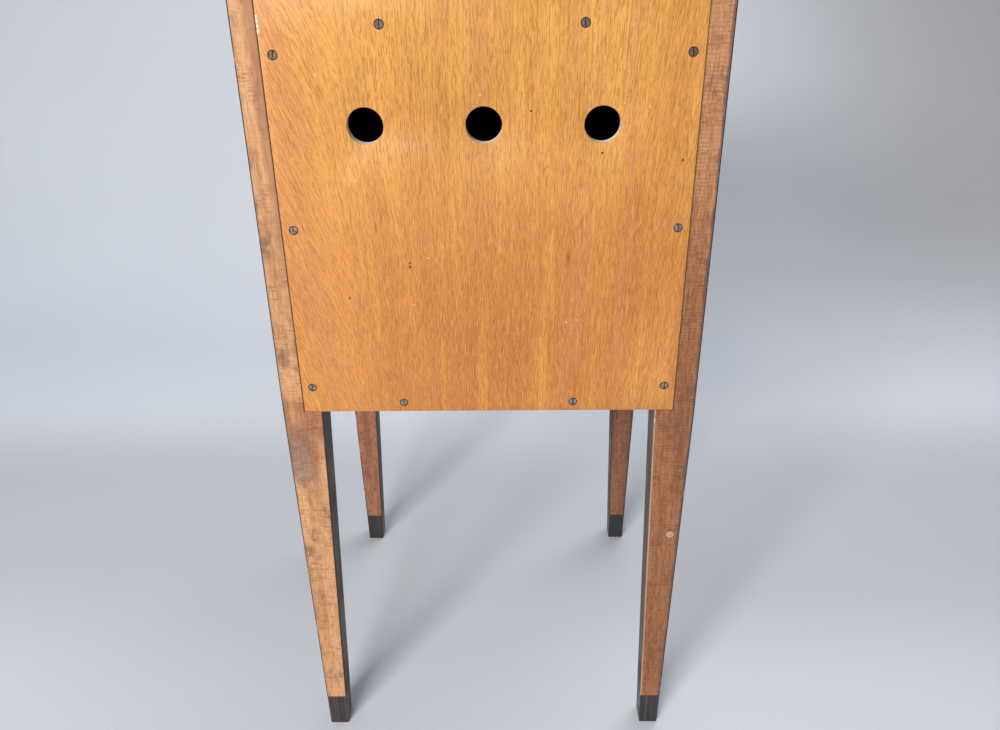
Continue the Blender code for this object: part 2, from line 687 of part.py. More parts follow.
def build_drawer():
    """A dovetailed drawer: the sides' tails enter the front, the bottom and back sit in grooves."""
    carrying = carrier("drawer_slide", (0, FACE_Y, (DIVIDER_TOP + OPENING_TOP) / 2))
    front_z = (DIVIDER_TOP + DRAWER_GAP, OPENING_TOP - DRAWER_GAP)
    front = block("drawer_front", (-DRAWER_HALF, DRAWER_HALF), (FACE_Y, DRAWER_SHOULDER), front_z, carrying)
    finish(front, "dark_polish")
    outline = [(DRAWER_REAR, DRAWER_LOW), (DRAWER_SHOULDER + FIT, DRAWER_LOW)]
    for centre in tail_heights():
        outline += tail_outline(centre, behind=FIT)
    outline += [(DRAWER_SHOULDER + FIT, DRAWER_HIGH), (DRAWER_REAR, DRAWER_HIGH)]
    sides = []
    for name, side in SIDES.items():
        x = (side * DRAWER_INNER, side * DRAWER_HALF)
        board = extruded(f"drawer_side_{name}", outline, "X", x, carrying)
        sides.append(finish(board, "pale_wood"))
        for i, centre in enumerate(tail_heights()):
            socket_x = (side * (DRAWER_INNER - FIT), side * (DRAWER_HALF + CLEAR))
            tail = tail_outline(centre, FIT, CLEAR)
            cut(extruded(f"tail_socket_{name}_{i + 1}", tail, "X", socket_x), front)
    x = (-DRAWER_INNER - GROOVE_DEPTH, DRAWER_INNER + GROOVE_DEPTH)
    y = (DRAWER_SHOULDER - GROOVE_DEPTH, DRAWER_REAR)
    z = (DRAWER_LOW + DRAWER_BOTTOM_RISE, DRAWER_FLOOR)
    finish(block("drawer_bottom", x, y, z, carrying), "pale_wood")
    socket("drawer_bottom", x, y, z, (front, *sides))
    y = (DRAWER_REAR - DRAWER_BACK_THICKNESS - GROOVE_DEPTH, DRAWER_REAR - GROOVE_DEPTH)
    z = (DRAWER_FLOOR + FIT, DRAWER_HIGH - DRAWER_BACK_DROP)
    finish(block("drawer_back", x, y, z, carrying), "pale_wood")
    socket("drawer_back", x, y, (z[0], DRAWER_HIGH + CLEAR), sides)
    place = (0, FACE_Y, sum(front_z) / 2)
    knob = put("drawer_knob", knob_mesh("drawer_knob", DRAWER_FRONT_THICKNESS), place, carrying, TO_FRONT)
    finish(knob, "black_wood")
    bore = bore_mesh("drawer_knob_bore", DRAWER_FRONT_THICKNESS)
    cut(put("drawer_knob_bore", bore, place, turn=TO_FRONT), front)


# Door


def build_door():
    """A framed door: tenoned rails between two stiles, round a panel that is loose in its grooves."""
    hinge_line = carrier("door_hinge", (HINGE_X, HINGE_Y, DOOR_LOW))
    y = (FACE_Y, DOOR_BACK)
    inner = DOOR_HALF - STILE_WIDTH
    stiles = []
    for name, side in (("hinge", -1), ("latch", 1)):
        x = (side * inner, side * DOOR_HALF)
        stile = block(f"door_stile_{name}", x, y, (DOOR_LOW, DOOR_HIGH), hinge_line)
        stiles.append(finish(stile, "dark_polish"))
    rails = []
    ends = {
        "bottom": (DOOR_LOW, DOOR_LOW + DOOR_RAIL_HEIGHT),
        "top": (DOOR_HIGH - DOOR_RAIL_HEIGHT, DOOR_HIGH),
    }
    for name, z in ends.items():
        rail = block(f"door_rail_{name}", (FIT - inner, inner - FIT), y, z, hinge_line)
        tenons = (-inner - DOOR_TENON_LENGTH, inner + DOOR_TENON_LENGTH)
        tenon_z = (z[0] + TENON_MARGIN, z[1] - TENON_MARGIN)
        tongue(rail, f"door_rail_{name}", tenons, middle(y, DOOR_PANEL_THICKNESS), tenon_z, stiles)
        rails.append(finish(rail, "dark_polish"))
    panel_x = (-inner - GROOVE_DEPTH, inner + GROOVE_DEPTH)
    panel_z = (ends["bottom"][1] - GROOVE_DEPTH, ends["top"][0] + GROOVE_DEPTH)
    panel_y = middle(y, DOOR_PANEL_THICKNESS)
    finish(block("door_panel", panel_x, panel_y, panel_z, hinge_line), "brown_hardwood")
    socket("door_panel", panel_x, panel_y, panel_z, (*stiles, *rails))
    return hinge_line, stiles


def build_door_stop():
    """A small block on the cupboard floor that the closed door meets."""
    right = OPENING_HALF - DOOR_STOP_FROM_LEG
    x = (right - DOOR_STOP_WIDTH, right)
    y = (DOOR_BACK + FIT, DOOR_BACK + FIT + DOOR_STOP_SIZE)
    z = (CUPBOARD_FLOOR + FIT, CUPBOARD_FLOOR + FIT + DOOR_STOP_SIZE)
    finish(block("door_stop", x, y, z), "pale_wood")


def knuckle_rod(name, low, high, grow, parent=None):
    mesh = turned_mesh(name, rod_profile(KNUCKLE_RADIUS + grow, low, high), PIN_STEPS)
    return put(name, mesh, (HINGE_X, HINGE_Y, 0), parent)


def hinge_leaf(name, plate_x, low, high, own, parent, let_into):
    """A leaf let in flush, rolled round the pin over its own lengths of knuckle and cut away elsewhere."""
    plate_y = (HINGE_Y, HINGE_Y + LEAF_WIDTH)
    leaf = block(name, plate_x, plate_y, (low, high), parent)
    shape(leaf, knuckle_rod(f"{name}_barrel", low, high, 0.0), "UNION")
    for i, (start, end) in enumerate(own):
        swept = KNUCKLE_RADIUS + FIT
        x = (HINGE_X - swept, HINGE_X + swept)
        y = (HINGE_Y - swept - CLEAR, HINGE_Y + swept)
        cut(block(f"{name}_space_{i + 1}", x, y, (start, end)), leaf)
    bore = rod_profile(PIN_DIAMETER / 2 + FIT, low - CLEAR, high + CLEAR)
    cut(put(f"{name}_bore", turned_mesh(f"{name}_bore", bore, PIN_STEPS), (HINGE_X, HINGE_Y, 0)), leaf)
    bed = max(plate_x, key=lambda x: abs(x - HINGE_X))
    recess_x = (bed + math.copysign(FIT, bed - HINGE_X), HINGE_X)
    recess_y = (HINGE_Y - CLEAR, HINGE_Y + LEAF_WIDTH + FIT)
    cut(block(f"{name}_recess", recess_x, recess_y, (low - FIT, high + FIT)), let_into)
    pin_top = high + FIT + PIN_HEAD_HEIGHT
    cut(knuckle_rod(f"{name}_clearance", low - FIT, pin_top + FIT, FIT), let_into)
    return finish(leaf, "brass")


def build_hinges(hinge_line, hinge_stile, hinge_leg):
    """Two butt hinges: the case leaf has the outer knuckles, the door leaf has the middle one."""
    third = HINGE_HEIGHT / 3
    case_x = (-OPENING_HALF - LEAF_THICKNESS, -OPENING_HALF)
    door_x = (-DOOR_HALF, -DOOR_HALF + LEAF_THICKNESS)
    for name, centre in (("lower", DOOR_LOW + HINGE_FROM_END), ("upper", DOOR_HIGH - HINGE_FROM_END)):
        low, high = centre - HINGE_HEIGHT / 2, centre + HINGE_HEIGHT / 2
        middle_space = [(low + third - FIT / 2, high - third + FIT / 2)]
        outer_spaces = [(low - CLEAR, low + third + FIT / 2), (high - third - FIT / 2, high + CLEAR)]
        hinge_leaf(f"hinge_{name}_case_leaf", case_x, low, high, middle_space, None, hinge_leg)
        hinge_leaf(f"hinge_{name}_door_leaf", door_x, low, high, outer_spaces, hinge_line, hinge_stile)
        head = KNUCKLE_RADIUS - FIT
        profile = [
            (0, low),
            (PIN_DIAMETER / 2, low),
            (PIN_DIAMETER / 2, high + FIT),
            (head, high + FIT),
            (head, high + FIT + PIN_HEAD_HEIGHT),
            (0, high + FIT + PIN_HEAD_HEIGHT),
        ]
        pin = turned_mesh(f"hinge_{name}_pin", profile, PIN_STEPS)
        finish(put(f"hinge_{name}_pin", pin, (HINGE_X, HINGE_Y, 0)), "brass")


def build_latch(hinge_line, latch_stile, latch_leg):
    """A turn latch: the knob's spindle carries a tongue that hangs free and swings into the leg."""
    axis = carrier("latch_axis", (LATCH_X, FACE_Y, LATCH_Z), hinge_line)
    spindle = DOOR_THICKNESS + FIT + LATCH_THICKNESS
    knob = put("latch_knob", knob_mesh("latch_knob", spindle), (LATCH_X, FACE_Y, LATCH_Z), axis, TO_FRONT)
    finish(knob, "black_wood")
    half = LATCH_WIDTH / 2
    reach = LATCH_REACH - half
    outline = []
    for i in range(ROUND_STEPS // 2 + 1):
        angle = math.tau * i / ROUND_STEPS
        outline.append((LATCH_X + half * math.cos(angle), LATCH_Z + half * math.sin(angle)))
    for i in range(ROUND_STEPS // 2 + 1):
        angle = math.pi + math.tau * i / ROUND_STEPS
        outline.append((LATCH_X + half * math.cos(angle), LATCH_Z - reach + half * math.sin(angle)))
    y = (DOOR_BACK + FIT, DOOR_BACK + FIT + LATCH_THICKNESS)
    latch = extruded("latch_tongue", outline, "Y", y, axis)
    finish(latch, "pale_wood")
    for piece, parent in ((latch_stile, hinge_line), (latch, axis)):
        bore = bore_mesh(f"{piece.name}_bore", spindle)
        cut(put(f"{piece.name}_bore", bore, (LATCH_X, FACE_Y, LATCH_Z), parent, TO_FRONT), piece)
    sweep = math.sqrt(LATCH_REACH**2 - (LATCH_REACH - LATCH_BITE) ** 2)
    mortise_x = (OPENING_HALF - CLEAR, OPENING_HALF + LATCH_BITE + CLEAR)
    mortise_y = (y[0] - FIT, y[1] + FIT)
    mortise_z = (LATCH_Z - sweep - CLEAR, LATCH_Z + half + CLEAR)
    cut(block("latch_mortise", mortise_x, mortise_y, mortise_z), latch_leg)


def build():
    clear_scene()
    legs = build_legs()
    build_leg_plug(legs["rear_left"])
    sides = build_sides(legs)
    bottom = build_bottom(sides)
    rails = build_rails(legs)
    kickers = build_drawer_carriers(rails["drawer_divider"])
    top = build_top()
    build_back(legs, rails["top_rear_rail"], bottom)
    fix_top(kickers, top)
    build_drawer()
    hinge_line, stiles = build_door()
    build_door_stop()
    build_hinges(hinge_line, stiles[0], legs["front_left"])
    build_latch(hinge_line, stiles[1], legs["front_right"])


build()
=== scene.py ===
import math

import bmesh
import bpy
from mathutils import Euler, Matrix, Vector


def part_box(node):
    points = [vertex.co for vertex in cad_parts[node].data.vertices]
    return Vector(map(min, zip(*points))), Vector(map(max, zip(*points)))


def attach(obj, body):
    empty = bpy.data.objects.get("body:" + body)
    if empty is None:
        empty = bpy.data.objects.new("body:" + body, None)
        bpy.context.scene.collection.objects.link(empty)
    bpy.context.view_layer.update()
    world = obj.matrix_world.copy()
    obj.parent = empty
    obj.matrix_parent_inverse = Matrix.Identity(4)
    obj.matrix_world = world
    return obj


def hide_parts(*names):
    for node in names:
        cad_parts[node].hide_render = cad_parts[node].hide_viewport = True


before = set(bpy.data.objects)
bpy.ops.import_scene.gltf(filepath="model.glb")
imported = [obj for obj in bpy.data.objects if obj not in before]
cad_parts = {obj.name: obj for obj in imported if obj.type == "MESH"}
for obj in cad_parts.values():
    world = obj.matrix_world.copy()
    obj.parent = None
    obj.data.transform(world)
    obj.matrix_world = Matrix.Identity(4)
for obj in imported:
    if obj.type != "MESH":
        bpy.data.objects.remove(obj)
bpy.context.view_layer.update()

# Legs. Four posts of red-brown hardwood, square beside the case and tapered below it. The faces that look
# backwards were left as they came from the saw, and the sides are polished nearly black over a thin arris.
CASE_HALF = 0.190
CASE_LOW = 0.410
CASE_HIGH = 0.776
REAR_Y = 0.18825
FRONT_Y = -0.16575
LEG_WIDTH = 0.037
LEG_DEPTH = 0.035
SIDE_SETBACK = 0.003
TOE_WIDTH = 0.020
TOE_DEPTH = 0.024
TOE_SET_IN = 0.0053
FOOT_TOP = 0.042
ARRIS = 0.0012
REBATE_X = 0.170
REBATE_Y = 0.18025
JOINT_GAP = 0.0003
ARRIS_STEPS = 3
SQUARE_ON = 0.97
TOUCHING = 1e-6
NEARLY_TOUCHING = 1e-4
NEARLY_FLAT = math.radians(0.3)
PLUG_PLACE = (-0.1787, REAR_Y, 0.266)
PLACES = {
    "front_left": (-1, -1),
    "front_right": (1, -1),
    "rear_left": (-1, 1),
    "rear_right": (1, 1),
}


def add(tree, kind, feeds=None, **settings):
    """Adds one shader node with its settings, and what feeds its sockets."""
    node = tree.nodes.new("ShaderNode" + kind)
    for name, value in settings.items():
        setattr(node, name, value)
    for name, value in (feeds or {}).items():
        if isinstance(value, bpy.types.NodeSocket):
            tree.links.new(value, node.inputs[name])
        else:
            node.inputs[name].default_value = value
    return node


def calc(tree, operation, first, second=0.0):
    """One step of arithmetic on values in a material."""
    return add(tree, "Math", {0: first, 1: second}, operation=operation).outputs[0]


def spread(tree, value, low, high, to_low=0.0, to_high=1.0):
    """Eases a value from one range to another."""
    feeds = {"Value": value, "From Min": low, "From Max": high, "To Min": to_low, "To Max": to_high}
    return add(tree, "MapRange", feeds, interpolation_type="SMOOTHSTEP").outputs["Result"]


def tint(tree, share, first, second, mode="MIX"):
    """Mixes two colours, or lays the second over the first."""
    node = add(tree, "Mix", data_type="RGBA", blend_type=mode)
    for socket, value in zip((node.inputs[0], node.inputs[6], node.inputs[7]), (share, first, second)):
        if isinstance(value, bpy.types.NodeSocket):
            tree.links.new(value, socket)
        elif socket.type == "RGBA":
            socket.default_value = (*value, 1.0)
        else:
            socket.default_value = value
    return node.outputs[2]


def cloud(tree, vector, scale, detail=2.0, rough=0.5):
    """A soft cloudy pattern, from dark to light."""
    feeds = {"Vector": vector, "Scale": scale, "Detail": detail, "Roughness": rough}
    return add(tree, "TexNoise", feeds).outputs["Fac"]


def stretch(tree, vector, across, along_x=None, along_y=None, along_z=None):
    """Scales coordinates, so that a pattern is drawn out along the grain."""
    scale = [across if v is None else v for v in (along_x, along_y, along_z)]
    return add(tree, "VectorMath", {0: vector, 1: scale}, operation="MULTIPLY").outputs[0]


def start_finish(name):
    """A new material's tree, its shader, and the coordinates of the piece."""
    material = bpy.data.materials.new(name)
    material.use_nodes = True
    tree = material.node_tree
    shader = tree.nodes["Principled BSDF"]
    place = add(tree, "TexCoord").outputs["Object"]
    return material, tree, shader, place


def raise_grain(tree, shader, height, strength, distance):
    """Lifts the surface a little where a pattern is light."""
    bump = add(tree, "Bump", {"Height": height, "Strength": strength, "Distance": distance})
    tree.links.new(bump.outputs["Normal"], shader.inputs["Normal"])


SMUDGE = (0.1801, REAR_Y, 0.357)
NAIL_HOLE = (0.1769, REAR_Y, 0.2612)
NAIL_RADIUS = 0.0014
PLUG_DIRT = 0.0085
PLUG_DIRT_ROUGH = 0.004
CRACK_HEIGHTS = (0.298, 0.223, 0.072)
CRACK_WANDER = 0.007
CRACK_EDGE = (0.0012, 0.0002)
HANDLED_FROM = (0.325, 0.395)
HANDLED_TO = (0.432, 0.412)
STRIP_EDGE = (0.1795, 0.1720)
STRIP_RISE = (0.43, 0.60)
OVERRUN_ROUGH = 0.005
WAVER_ACROSS = 0.0030
WAVER_ALONG = 0.0060
LOW_BROWN = (0.330, 0.142, 0.063)
HIGH_BROWN = (0.470, 0.232, 0.108)
PALE_BROWN = (0.550, 0.290, 0.136)
RED_BROWN = (0.245, 0.104, 0.058)
PALE_RED_BROWN = (0.350, 0.150, 0.080)
HANDLED_BROWN = (0.370, 0.160, 0.078)
DARK_GRAIN_SHARE = (0.46, 0.38, 0.34)
PALE_GRAIN_SHARE = (1.24, 1.30, 1.34)
STAIN_BROWN = (0.125, 0.062, 0.042)
SMUDGE_GREY = (0.150, 0.108, 0.096)
SMUDGE_RIM = (0.085, 0.050, 0.042)
CRACK_BROWN = (0.130, 0.058, 0.034)
STRIP_BROWN = (0.270, 0.118, 0.064)
HOLE_DIRT = (0.090, 0.040, 0.026)
OVERRUN_POLISH = (0.085, 0.053, 0.053)
REVEAL_POLISH = (0.050, 0.028, 0.022)
JOINT_DIRT = (0.040, 0.020, 0.014)


def sawn_hardwood():
    """Bare brown hardwood: long grain, wavering cross lines from the saw, dirt and handling stains."""
    material, tree, shader, place = start_finish("sawn_hardwood")
    x, y, z = add(tree, "SeparateXYZ", {"Vector": place}).outputs
    # each leg is another stick: the two on the +X side are paler, and the front pair is redder
    pale_side = spread(tree, x, -0.05, 0.05)
    front_pair = spread(tree, y, 0.02, -0.02)
    pale_rear = calc(tree, "MULTIPLY", pale_side, spread(tree, y, -0.02, 0.02))
    brown = tint(tree, spread(tree, z, 0.48, 0.74), LOW_BROWN, HIGH_BROWN)
    rear = tint(tree, pale_side, brown, PALE_BROWN)
    front = tint(tree, pale_side, RED_BROWN, PALE_RED_BROWN)
    ground = tint(tree, front_pair, rear, front)
    # the palest leg is brown with handling just below the case
    patchy = cloud(tree, stretch(tree, place, 60.0, along_z=42.0), 1.0, 3.0, 0.6)
    handled = calc(tree, "MULTIPLY", spread(tree, z, *HANDLED_FROM), spread(tree, z, *HANDLED_TO))
    handled = calc(tree, "MULTIPLY", handled, spread(tree, patchy, 0.3, 0.6, 0.6, 1.0))
    ground = tint(tree, calc(tree, "MULTIPLY", handled, pale_rear), ground, HANDLED_BROWN)
    dark = tint(tree, 1.0, ground, DARK_GRAIN_SHARE, "MULTIPLY")
    pale = tint(tree, 1.0, ground, PALE_GRAIN_SHARE, "MULTIPLY")
    waver = cloud(tree, stretch(tree, place, 120.0, along_z=34.0), 1.0, 3.0, 0.6)
    bent = add(tree, "CombineXYZ", {
        "X": calc(tree, "ADD", x, calc(tree, "MULTIPLY", waver, WAVER_ACROSS)), "Y": y,
        "Z": calc(tree, "ADD", z, calc(tree, "MULTIPLY", waver, WAVER_ALONG)),
    }).outputs[0]
    figure = cloud(tree, stretch(tree, bent, 70.0, along_z=5.0), 1.0, 5.0, 0.65)
    streak = cloud(tree, stretch(tree, bent, 430.0, along_z=16.0), 1.0, 4.0, 0.7)
    fibre = cloud(tree, stretch(tree, bent, 620.0, along_z=95.0), 1.0, 2.0, 0.6)
    saw = cloud(tree, stretch(tree, bent, 105.0, along_z=560.0), 1.0, 3.0, 0.65)
    bands = cloud(tree, stretch(tree, bent, 32.0, along_z=120.0), 1.0, 4.0, 0.65)
    stain = cloud(tree, stretch(tree, place, 46.0, along_z=21.0), 1.0, 5.0, 0.65)
    lines = calc(tree, "MULTIPLY", spread(tree, saw, 0.48, 0.64), spread(tree, patchy, 0.38, 0.62, 0.1, 1.0))
    lines = calc(tree, "MULTIPLY", lines, spread(tree, pale_side, 0.0, 1.0, 0.74, 0.68))
    # the saw's teeth left fine, nearly even lines right across, which show most on the -X side
    teeth = add(tree, "TexWave", {
        "Vector": bent, "Scale": 98.0, "Distortion": 3.4, "Detail": 2.0, "Detail Scale": 0.8,
    }, bands_direction="Z").outputs["Fac"]
    cut_deep = spread(tree, teeth, 0.45, 0.95)
    teeth = calc(tree, "MULTIPLY", cut_deep, spread(tree, stain, 0.36, 0.56, 0.25, 1.0))
    teeth = calc(tree, "MULTIPLY", teeth, spread(tree, pale_side, 0.0, 1.0, 0.42, 0.10))
    upright = spread(tree, fibre, 0.50, 0.66)
    upright = calc(tree, "MULTIPLY", upright, spread(tree, pale_rear, 0.0, 1.0, 0.60, 0.32))
    colour = tint(tree, spread(tree, figure, 0.42, 0.68, 0.0, 0.60), ground, dark)
    colour = tint(tree, spread(tree, figure, 0.46, 0.30, 0.0, 0.55), colour, pale)
    colour = tint(tree, spread(tree, streak, 0.50, 0.72, 0.0, 0.50), colour, dark)
    colour = tint(tree, upright, colour, dark)
    colour = tint(tree, spread(tree, fibre, 0.47, 0.34, 0.0, 0.35), colour, pale)
    colour = tint(tree, lines, colour, dark)
    colour = tint(tree, teeth, colour, dark)
    colour = tint(tree, spread(tree, bands, 0.54, 0.70, 0.0, 0.50), colour, dark)
    colour = tint(tree, spread(tree, stain, 0.54, 0.70, 0.0, 0.70), colour, STAIN_BROWN)
    # on the palest leg: a grey smudge with a darker rim, thin cracks, a strip beside the panel
    offset = add(tree, "VectorMath", {0: place, 1: SMUDGE}, operation="SUBTRACT").outputs[0]
    smudge = add(
        tree, "VectorMath", {0: stretch(tree, offset, 62.0, along_y=0.0, along_z=27.0)}, operation="LENGTH"
    ).outputs["Value"]
    smudge = calc(tree, "ADD", smudge, calc(tree, "MULTIPLY", patchy, 1.6))
    rubbed = spread(tree, smudge, 1.95, 1.15, 0.0, 0.80)
    rubbed = calc(tree, "MULTIPLY", rubbed, spread(tree, saw, 0.42, 0.60, 0.70, 1.0))
    colour = tint(tree, rubbed, colour, SMUDGE_GREY)
    rim = calc(tree, "ABSOLUTE", calc(tree, "SUBTRACT", smudge, 1.55))
    colour = tint(tree, spread(tree, rim, 0.16, 0.03, 0.0, 0.26), colour, SMUDGE_RIM)
    wavy = calc(tree, "ADD", z, calc(tree, "MULTIPLY", patchy, CRACK_WANDER))
    crack = None
    for height in CRACK_HEIGHTS:
        away = calc(tree, "ABSOLUTE", calc(tree, "SUBTRACT", wavy, height + CRACK_WANDER / 2))
        crack = away if crack is None else calc(tree, "MINIMUM", crack, away)
    crack = spread(tree, crack, *CRACK_EDGE, 0.0, 0.6)
    crack = calc(tree, "MULTIPLY", crack, spread(tree, streak, 0.35, 0.6))
    colour = tint(tree, calc(tree, "MULTIPLY", crack, pale_rear), colour, CRACK_BROWN)
    strip = calc(tree, "MULTIPLY", spread(tree, x, *STRIP_EDGE, 0.0, 0.6), spread(tree, z, *STRIP_RISE))
    strip = calc(tree, "MULTIPLY", strip, pale_rear)
    colour = tint(tree, strip, colour, STRIP_BROWN)
    # an old nail hole, dirt round the plug, and polish that ran over the outer arris, most on the -X legs
    for spot, reach, rough in ((NAIL_HOLE, NAIL_RADIUS, 0.0), (PLUG_PLACE, PLUG_DIRT, PLUG_DIRT_ROUGH)):
        away = add(tree, "VectorMath", {0: place, 1: spot}, operation="DISTANCE").outputs["Value"]
        away = calc(tree, "ADD", away, calc(tree, "MULTIPLY", patchy, rough))
        colour = tint(tree, spread(tree, away, reach, reach * 0.65, 0.0, 0.65), colour, HOLE_DIRT)
    taper = calc(tree, "MAXIMUM", calc(tree, "SUBTRACT", 1.0, calc(tree, "DIVIDE", z, CASE_LOW)), 0.0)
    outer = calc(tree, "ADD", calc(tree, "ABSOLUTE", x), calc(tree, "MULTIPLY", taper, TOE_SET_IN))
    outer = calc(tree, "ADD", outer, calc(tree, "MULTIPLY", patchy, OVERRUN_ROUGH))
    overrun = spread(tree, outer, CASE_HALF - ARRIS, CASE_HALF + ARRIS / 2)
    overrun = calc(tree, "MULTIPLY", overrun, spread(tree, pale_side, 0.0, 1.0, 0.75, 0.20))
    colour = tint(tree, overrun, colour, OVERRUN_POLISH)
    # beside the case the polish reaches round the front legs to the side panels
    side_face = CASE_HALF - SIDE_SETBACK
    reveal = spread(tree, calc(tree, "ABSOLUTE", x), side_face - 0.0005, side_face - 0.0001)
    reveal = calc(tree, "MULTIPLY", reveal, spread(tree, z, CASE_LOW - 0.001, CASE_LOW))
    reveal = calc(tree, "MULTIPLY", reveal, front_pair)
    colour = tint(tree, reveal, colour, REVEAL_POLISH)
    # dirt has settled along the joint with the panel, more of it on the +X side
    joint = spread(tree, calc(tree, "ABSOLUTE", x), REBATE_X + 0.0010, REBATE_X + 0.0003)
    joint = calc(tree, "MULTIPLY", joint, spread(tree, z, CASE_LOW - 0.001, CASE_LOW + 0.001))
    joint = calc(tree, "MULTIPLY", joint, spread(tree, pale_side, 0.0, 1.0, 0.45, 0.75))
    colour = tint(tree, joint, colour, JOINT_DIRT)
    tree.links.new(colour, shader.inputs["Base Color"])
    tree.links.new(spread(tree, streak, 0.3, 0.7, 0.50, 0.68), shader.inputs["Roughness"])
    shader.inputs["Specular IOR Level"].default_value = 0.28
    raise_grain(tree, shader, calc(tree, "ADD", saw, streak), 0.30, 0.0005)
    return material


POLISH_DARK = (0.038, 0.022, 0.016)
POLISH_BROWN = (0.092, 0.050, 0.034)
POLISH_BLOTCH = (0.024, 0.016, 0.014)


def dark_polish():
    """Hardwood stained and polished nearly black, with a faint long grain."""
    material, tree, shader, place = start_finish("dark_polish")
    streak = cloud(tree, stretch(tree, place, 160.0, along_z=5.0), 1.0, 4.0, 0.6)
    blotch = cloud(tree, place, 16.0, 2.0)
    colour = tint(tree, spread(tree, streak, 0.35, 0.70), POLISH_DARK, POLISH_BROWN)
    colour = tint(tree, spread(tree, blotch, 0.45, 0.75, 0.0, 0.5), colour, POLISH_BLOTCH)
    tree.links.new(colour, shader.inputs["Base Color"])
    tree.links.new(spread(tree, blotch, 0.3, 0.7, 0.34, 0.50), shader.inputs["Roughness"])
    shader.inputs["Specular IOR Level"].default_value = 0.12
    raise_grain(tree, shader, streak, 0.08, 0.0003)
    return material


CHIP = (-0.1532, REAR_Y, 0.3985)
CHIP_EDGE = (0.0062, 0.0046)
CHIP_ROUGH = 0.006
RUBBED_BROWN = (0.26, 0.13, 0.068)
RUBBED_PALE = (0.54, 0.34, 0.21)
ARRIS_POLISH = (0.050, 0.027, 0.022)
CHIP_PALE = (0.46, 0.37, 0.30)


def worn_arris():
    """The rounded edge between a polished side and a bare face, rubbed through in places."""
    material, tree, shader, place = start_finish("worn_arris")
    x, y = add(tree, "SeparateXYZ", {"Vector": place}).outputs[:2]
    rub = cloud(tree, stretch(tree, place, 40.0, along_z=26.0), 1.0, 4.0, 0.65)
    streak = cloud(tree, stretch(tree, place, 160.0, along_z=5.0), 1.0, 3.0)
    # the inner edge of the -X rear leg is rubbed palest
    inner = spread(tree, x, -0.178, -0.170, 0.0, 0.24)
    inner = calc(tree, "MULTIPLY", inner, spread(tree, x, -0.148, -0.150))
    inner = calc(tree, "MULTIPLY", inner, spread(tree, y, 0.0, 0.1))
    worn = calc(tree, "ADD", rub, inner)
    bare = tint(tree, streak, RUBBED_BROWN, RUBBED_PALE)
    colour = tint(tree, spread(tree, worn, 0.56, 0.70), ARRIS_POLISH, bare)
    away = add(tree, "VectorMath", {0: place, 1: CHIP}, operation="DISTANCE").outputs["Value"]
    away = calc(tree, "ADD", away, calc(tree, "MULTIPLY", rub, CHIP_ROUGH))
    colour = tint(tree, spread(tree, away, *CHIP_EDGE, 0.0, 0.8), colour, CHIP_PALE)
    tree.links.new(colour, shader.inputs["Base Color"])
    tree.links.new(spread(tree, rub, 0.4, 0.7, 0.32, 0.6), shader.inputs["Roughness"])
    shader.inputs["Specular IOR Level"].default_value = 0.22
    raise_grain(tree, shader, rub, 0.2, 0.0003)
    return material


SAWN = sawn_hardwood()
POLISH = dark_polish()
WORN = worn_arris()
LEG_FINISHES = (SAWN, POLISH, WORN)


def keep(name, bm, finishes, body, *nodes, smooth=30):
    """Makes a finished piece of a bmesh, in place of its CAD nodes, creased where two finishes meet."""
    bm.normal_update()
    for face in bm.faces:
        face.smooth = True
    for edge in bm.edges:
        one_finish = len({face.material_index for face in edge.link_faces}) == 1
        edge.smooth = one_finish and edge.calc_face_angle(0.0) < math.radians(smooth)
    mesh = bpy.data.meshes.new(name)
    bm.to_mesh(mesh)
    bm.free()
    if mesh.has_custom_normals:
        mesh.attributes.remove(mesh.attributes["custom_normal"])
    for finish in finishes:
        mesh.materials.append(finish)
    piece = bpy.data.objects.new(name, mesh)
    bpy.context.scene.collection.objects.link(piece)
    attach(piece, body)
    if nodes:
        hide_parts(*nodes)
    return piece


def leg_section(side, end, height):
    """Inner and outer X, and inner and outer Y, of a leg at a height."""
    taper = max(0.0, 1.0 - height / CASE_LOW)
    outer = CASE_HALF - TOE_SET_IN * taper
    inner = CASE_HALF - LEG_WIDTH + (LEG_WIDTH - TOE_SET_IN - TOE_WIDTH) * taper
    face = REAR_Y if end > 0 else FRONT_Y
    back = face - end * (LEG_DEPTH - (LEG_DEPTH - TOE_DEPTH) * taper)
    return (side * inner, side * outer), (back, face)


def leg_length(side, end, low, high):
    """A bmesh of the leg's section between two heights."""
    bm = bmesh.new()
    bmesh.ops.create_cube(bm, size=1.0)
    for corner in bm.verts:
        height = low if corner.co.z < 0 else high
        x, y = leg_section(side, end, height)
        corner.co = (sorted(x)[corner.co.x > 0], sorted(y)[corner.co.y > 0], height)
    bm.normal_update()
    return bm


def at_corner(side, end, vertex):
    """Whether a vertex lies on one of the four long corners of a leg."""
    x, y = leg_section(side, end, vertex.co.z)
    aside = min(abs(vertex.co.x - v) for v in x), min(abs(vertex.co.y - v) for v in y)
    return max(aside) < NEARLY_TOUCHING


def leg_finish(side, end, face):
    """Which finish a face of a leg has: sawn or cut, polished, or a worn arris."""
    if max(abs(v) for v in face.normal) < SQUARE_ON:
        return LEG_FINISHES.index(WORN)
    middle = face.calc_center_median()
    x, y = leg_section(side, end, middle.z)
    outside = min([abs(middle.x - v) for v in x] + [abs(middle.y - v) for v in y]) < NEARLY_TOUCHING
    return LEG_FINISHES.index(POLISH if outside and face.normal.y < SQUARE_ON else SAWN)


def merged(name):
    """A bmesh of a CAD node, its split corners joined."""
    bm = bmesh.new()
    bm.from_mesh(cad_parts[name].data)
    bmesh.ops.remove_doubles(bm, verts=bm.verts, dist=TOUCHING)
    bm.normal_update()
    return bm


def whole(faces):
    """Faces with their edges and vertices."""
    return faces + list({e for f in faces for e in f.edges}) + list({v for f in faces for v in f.verts})


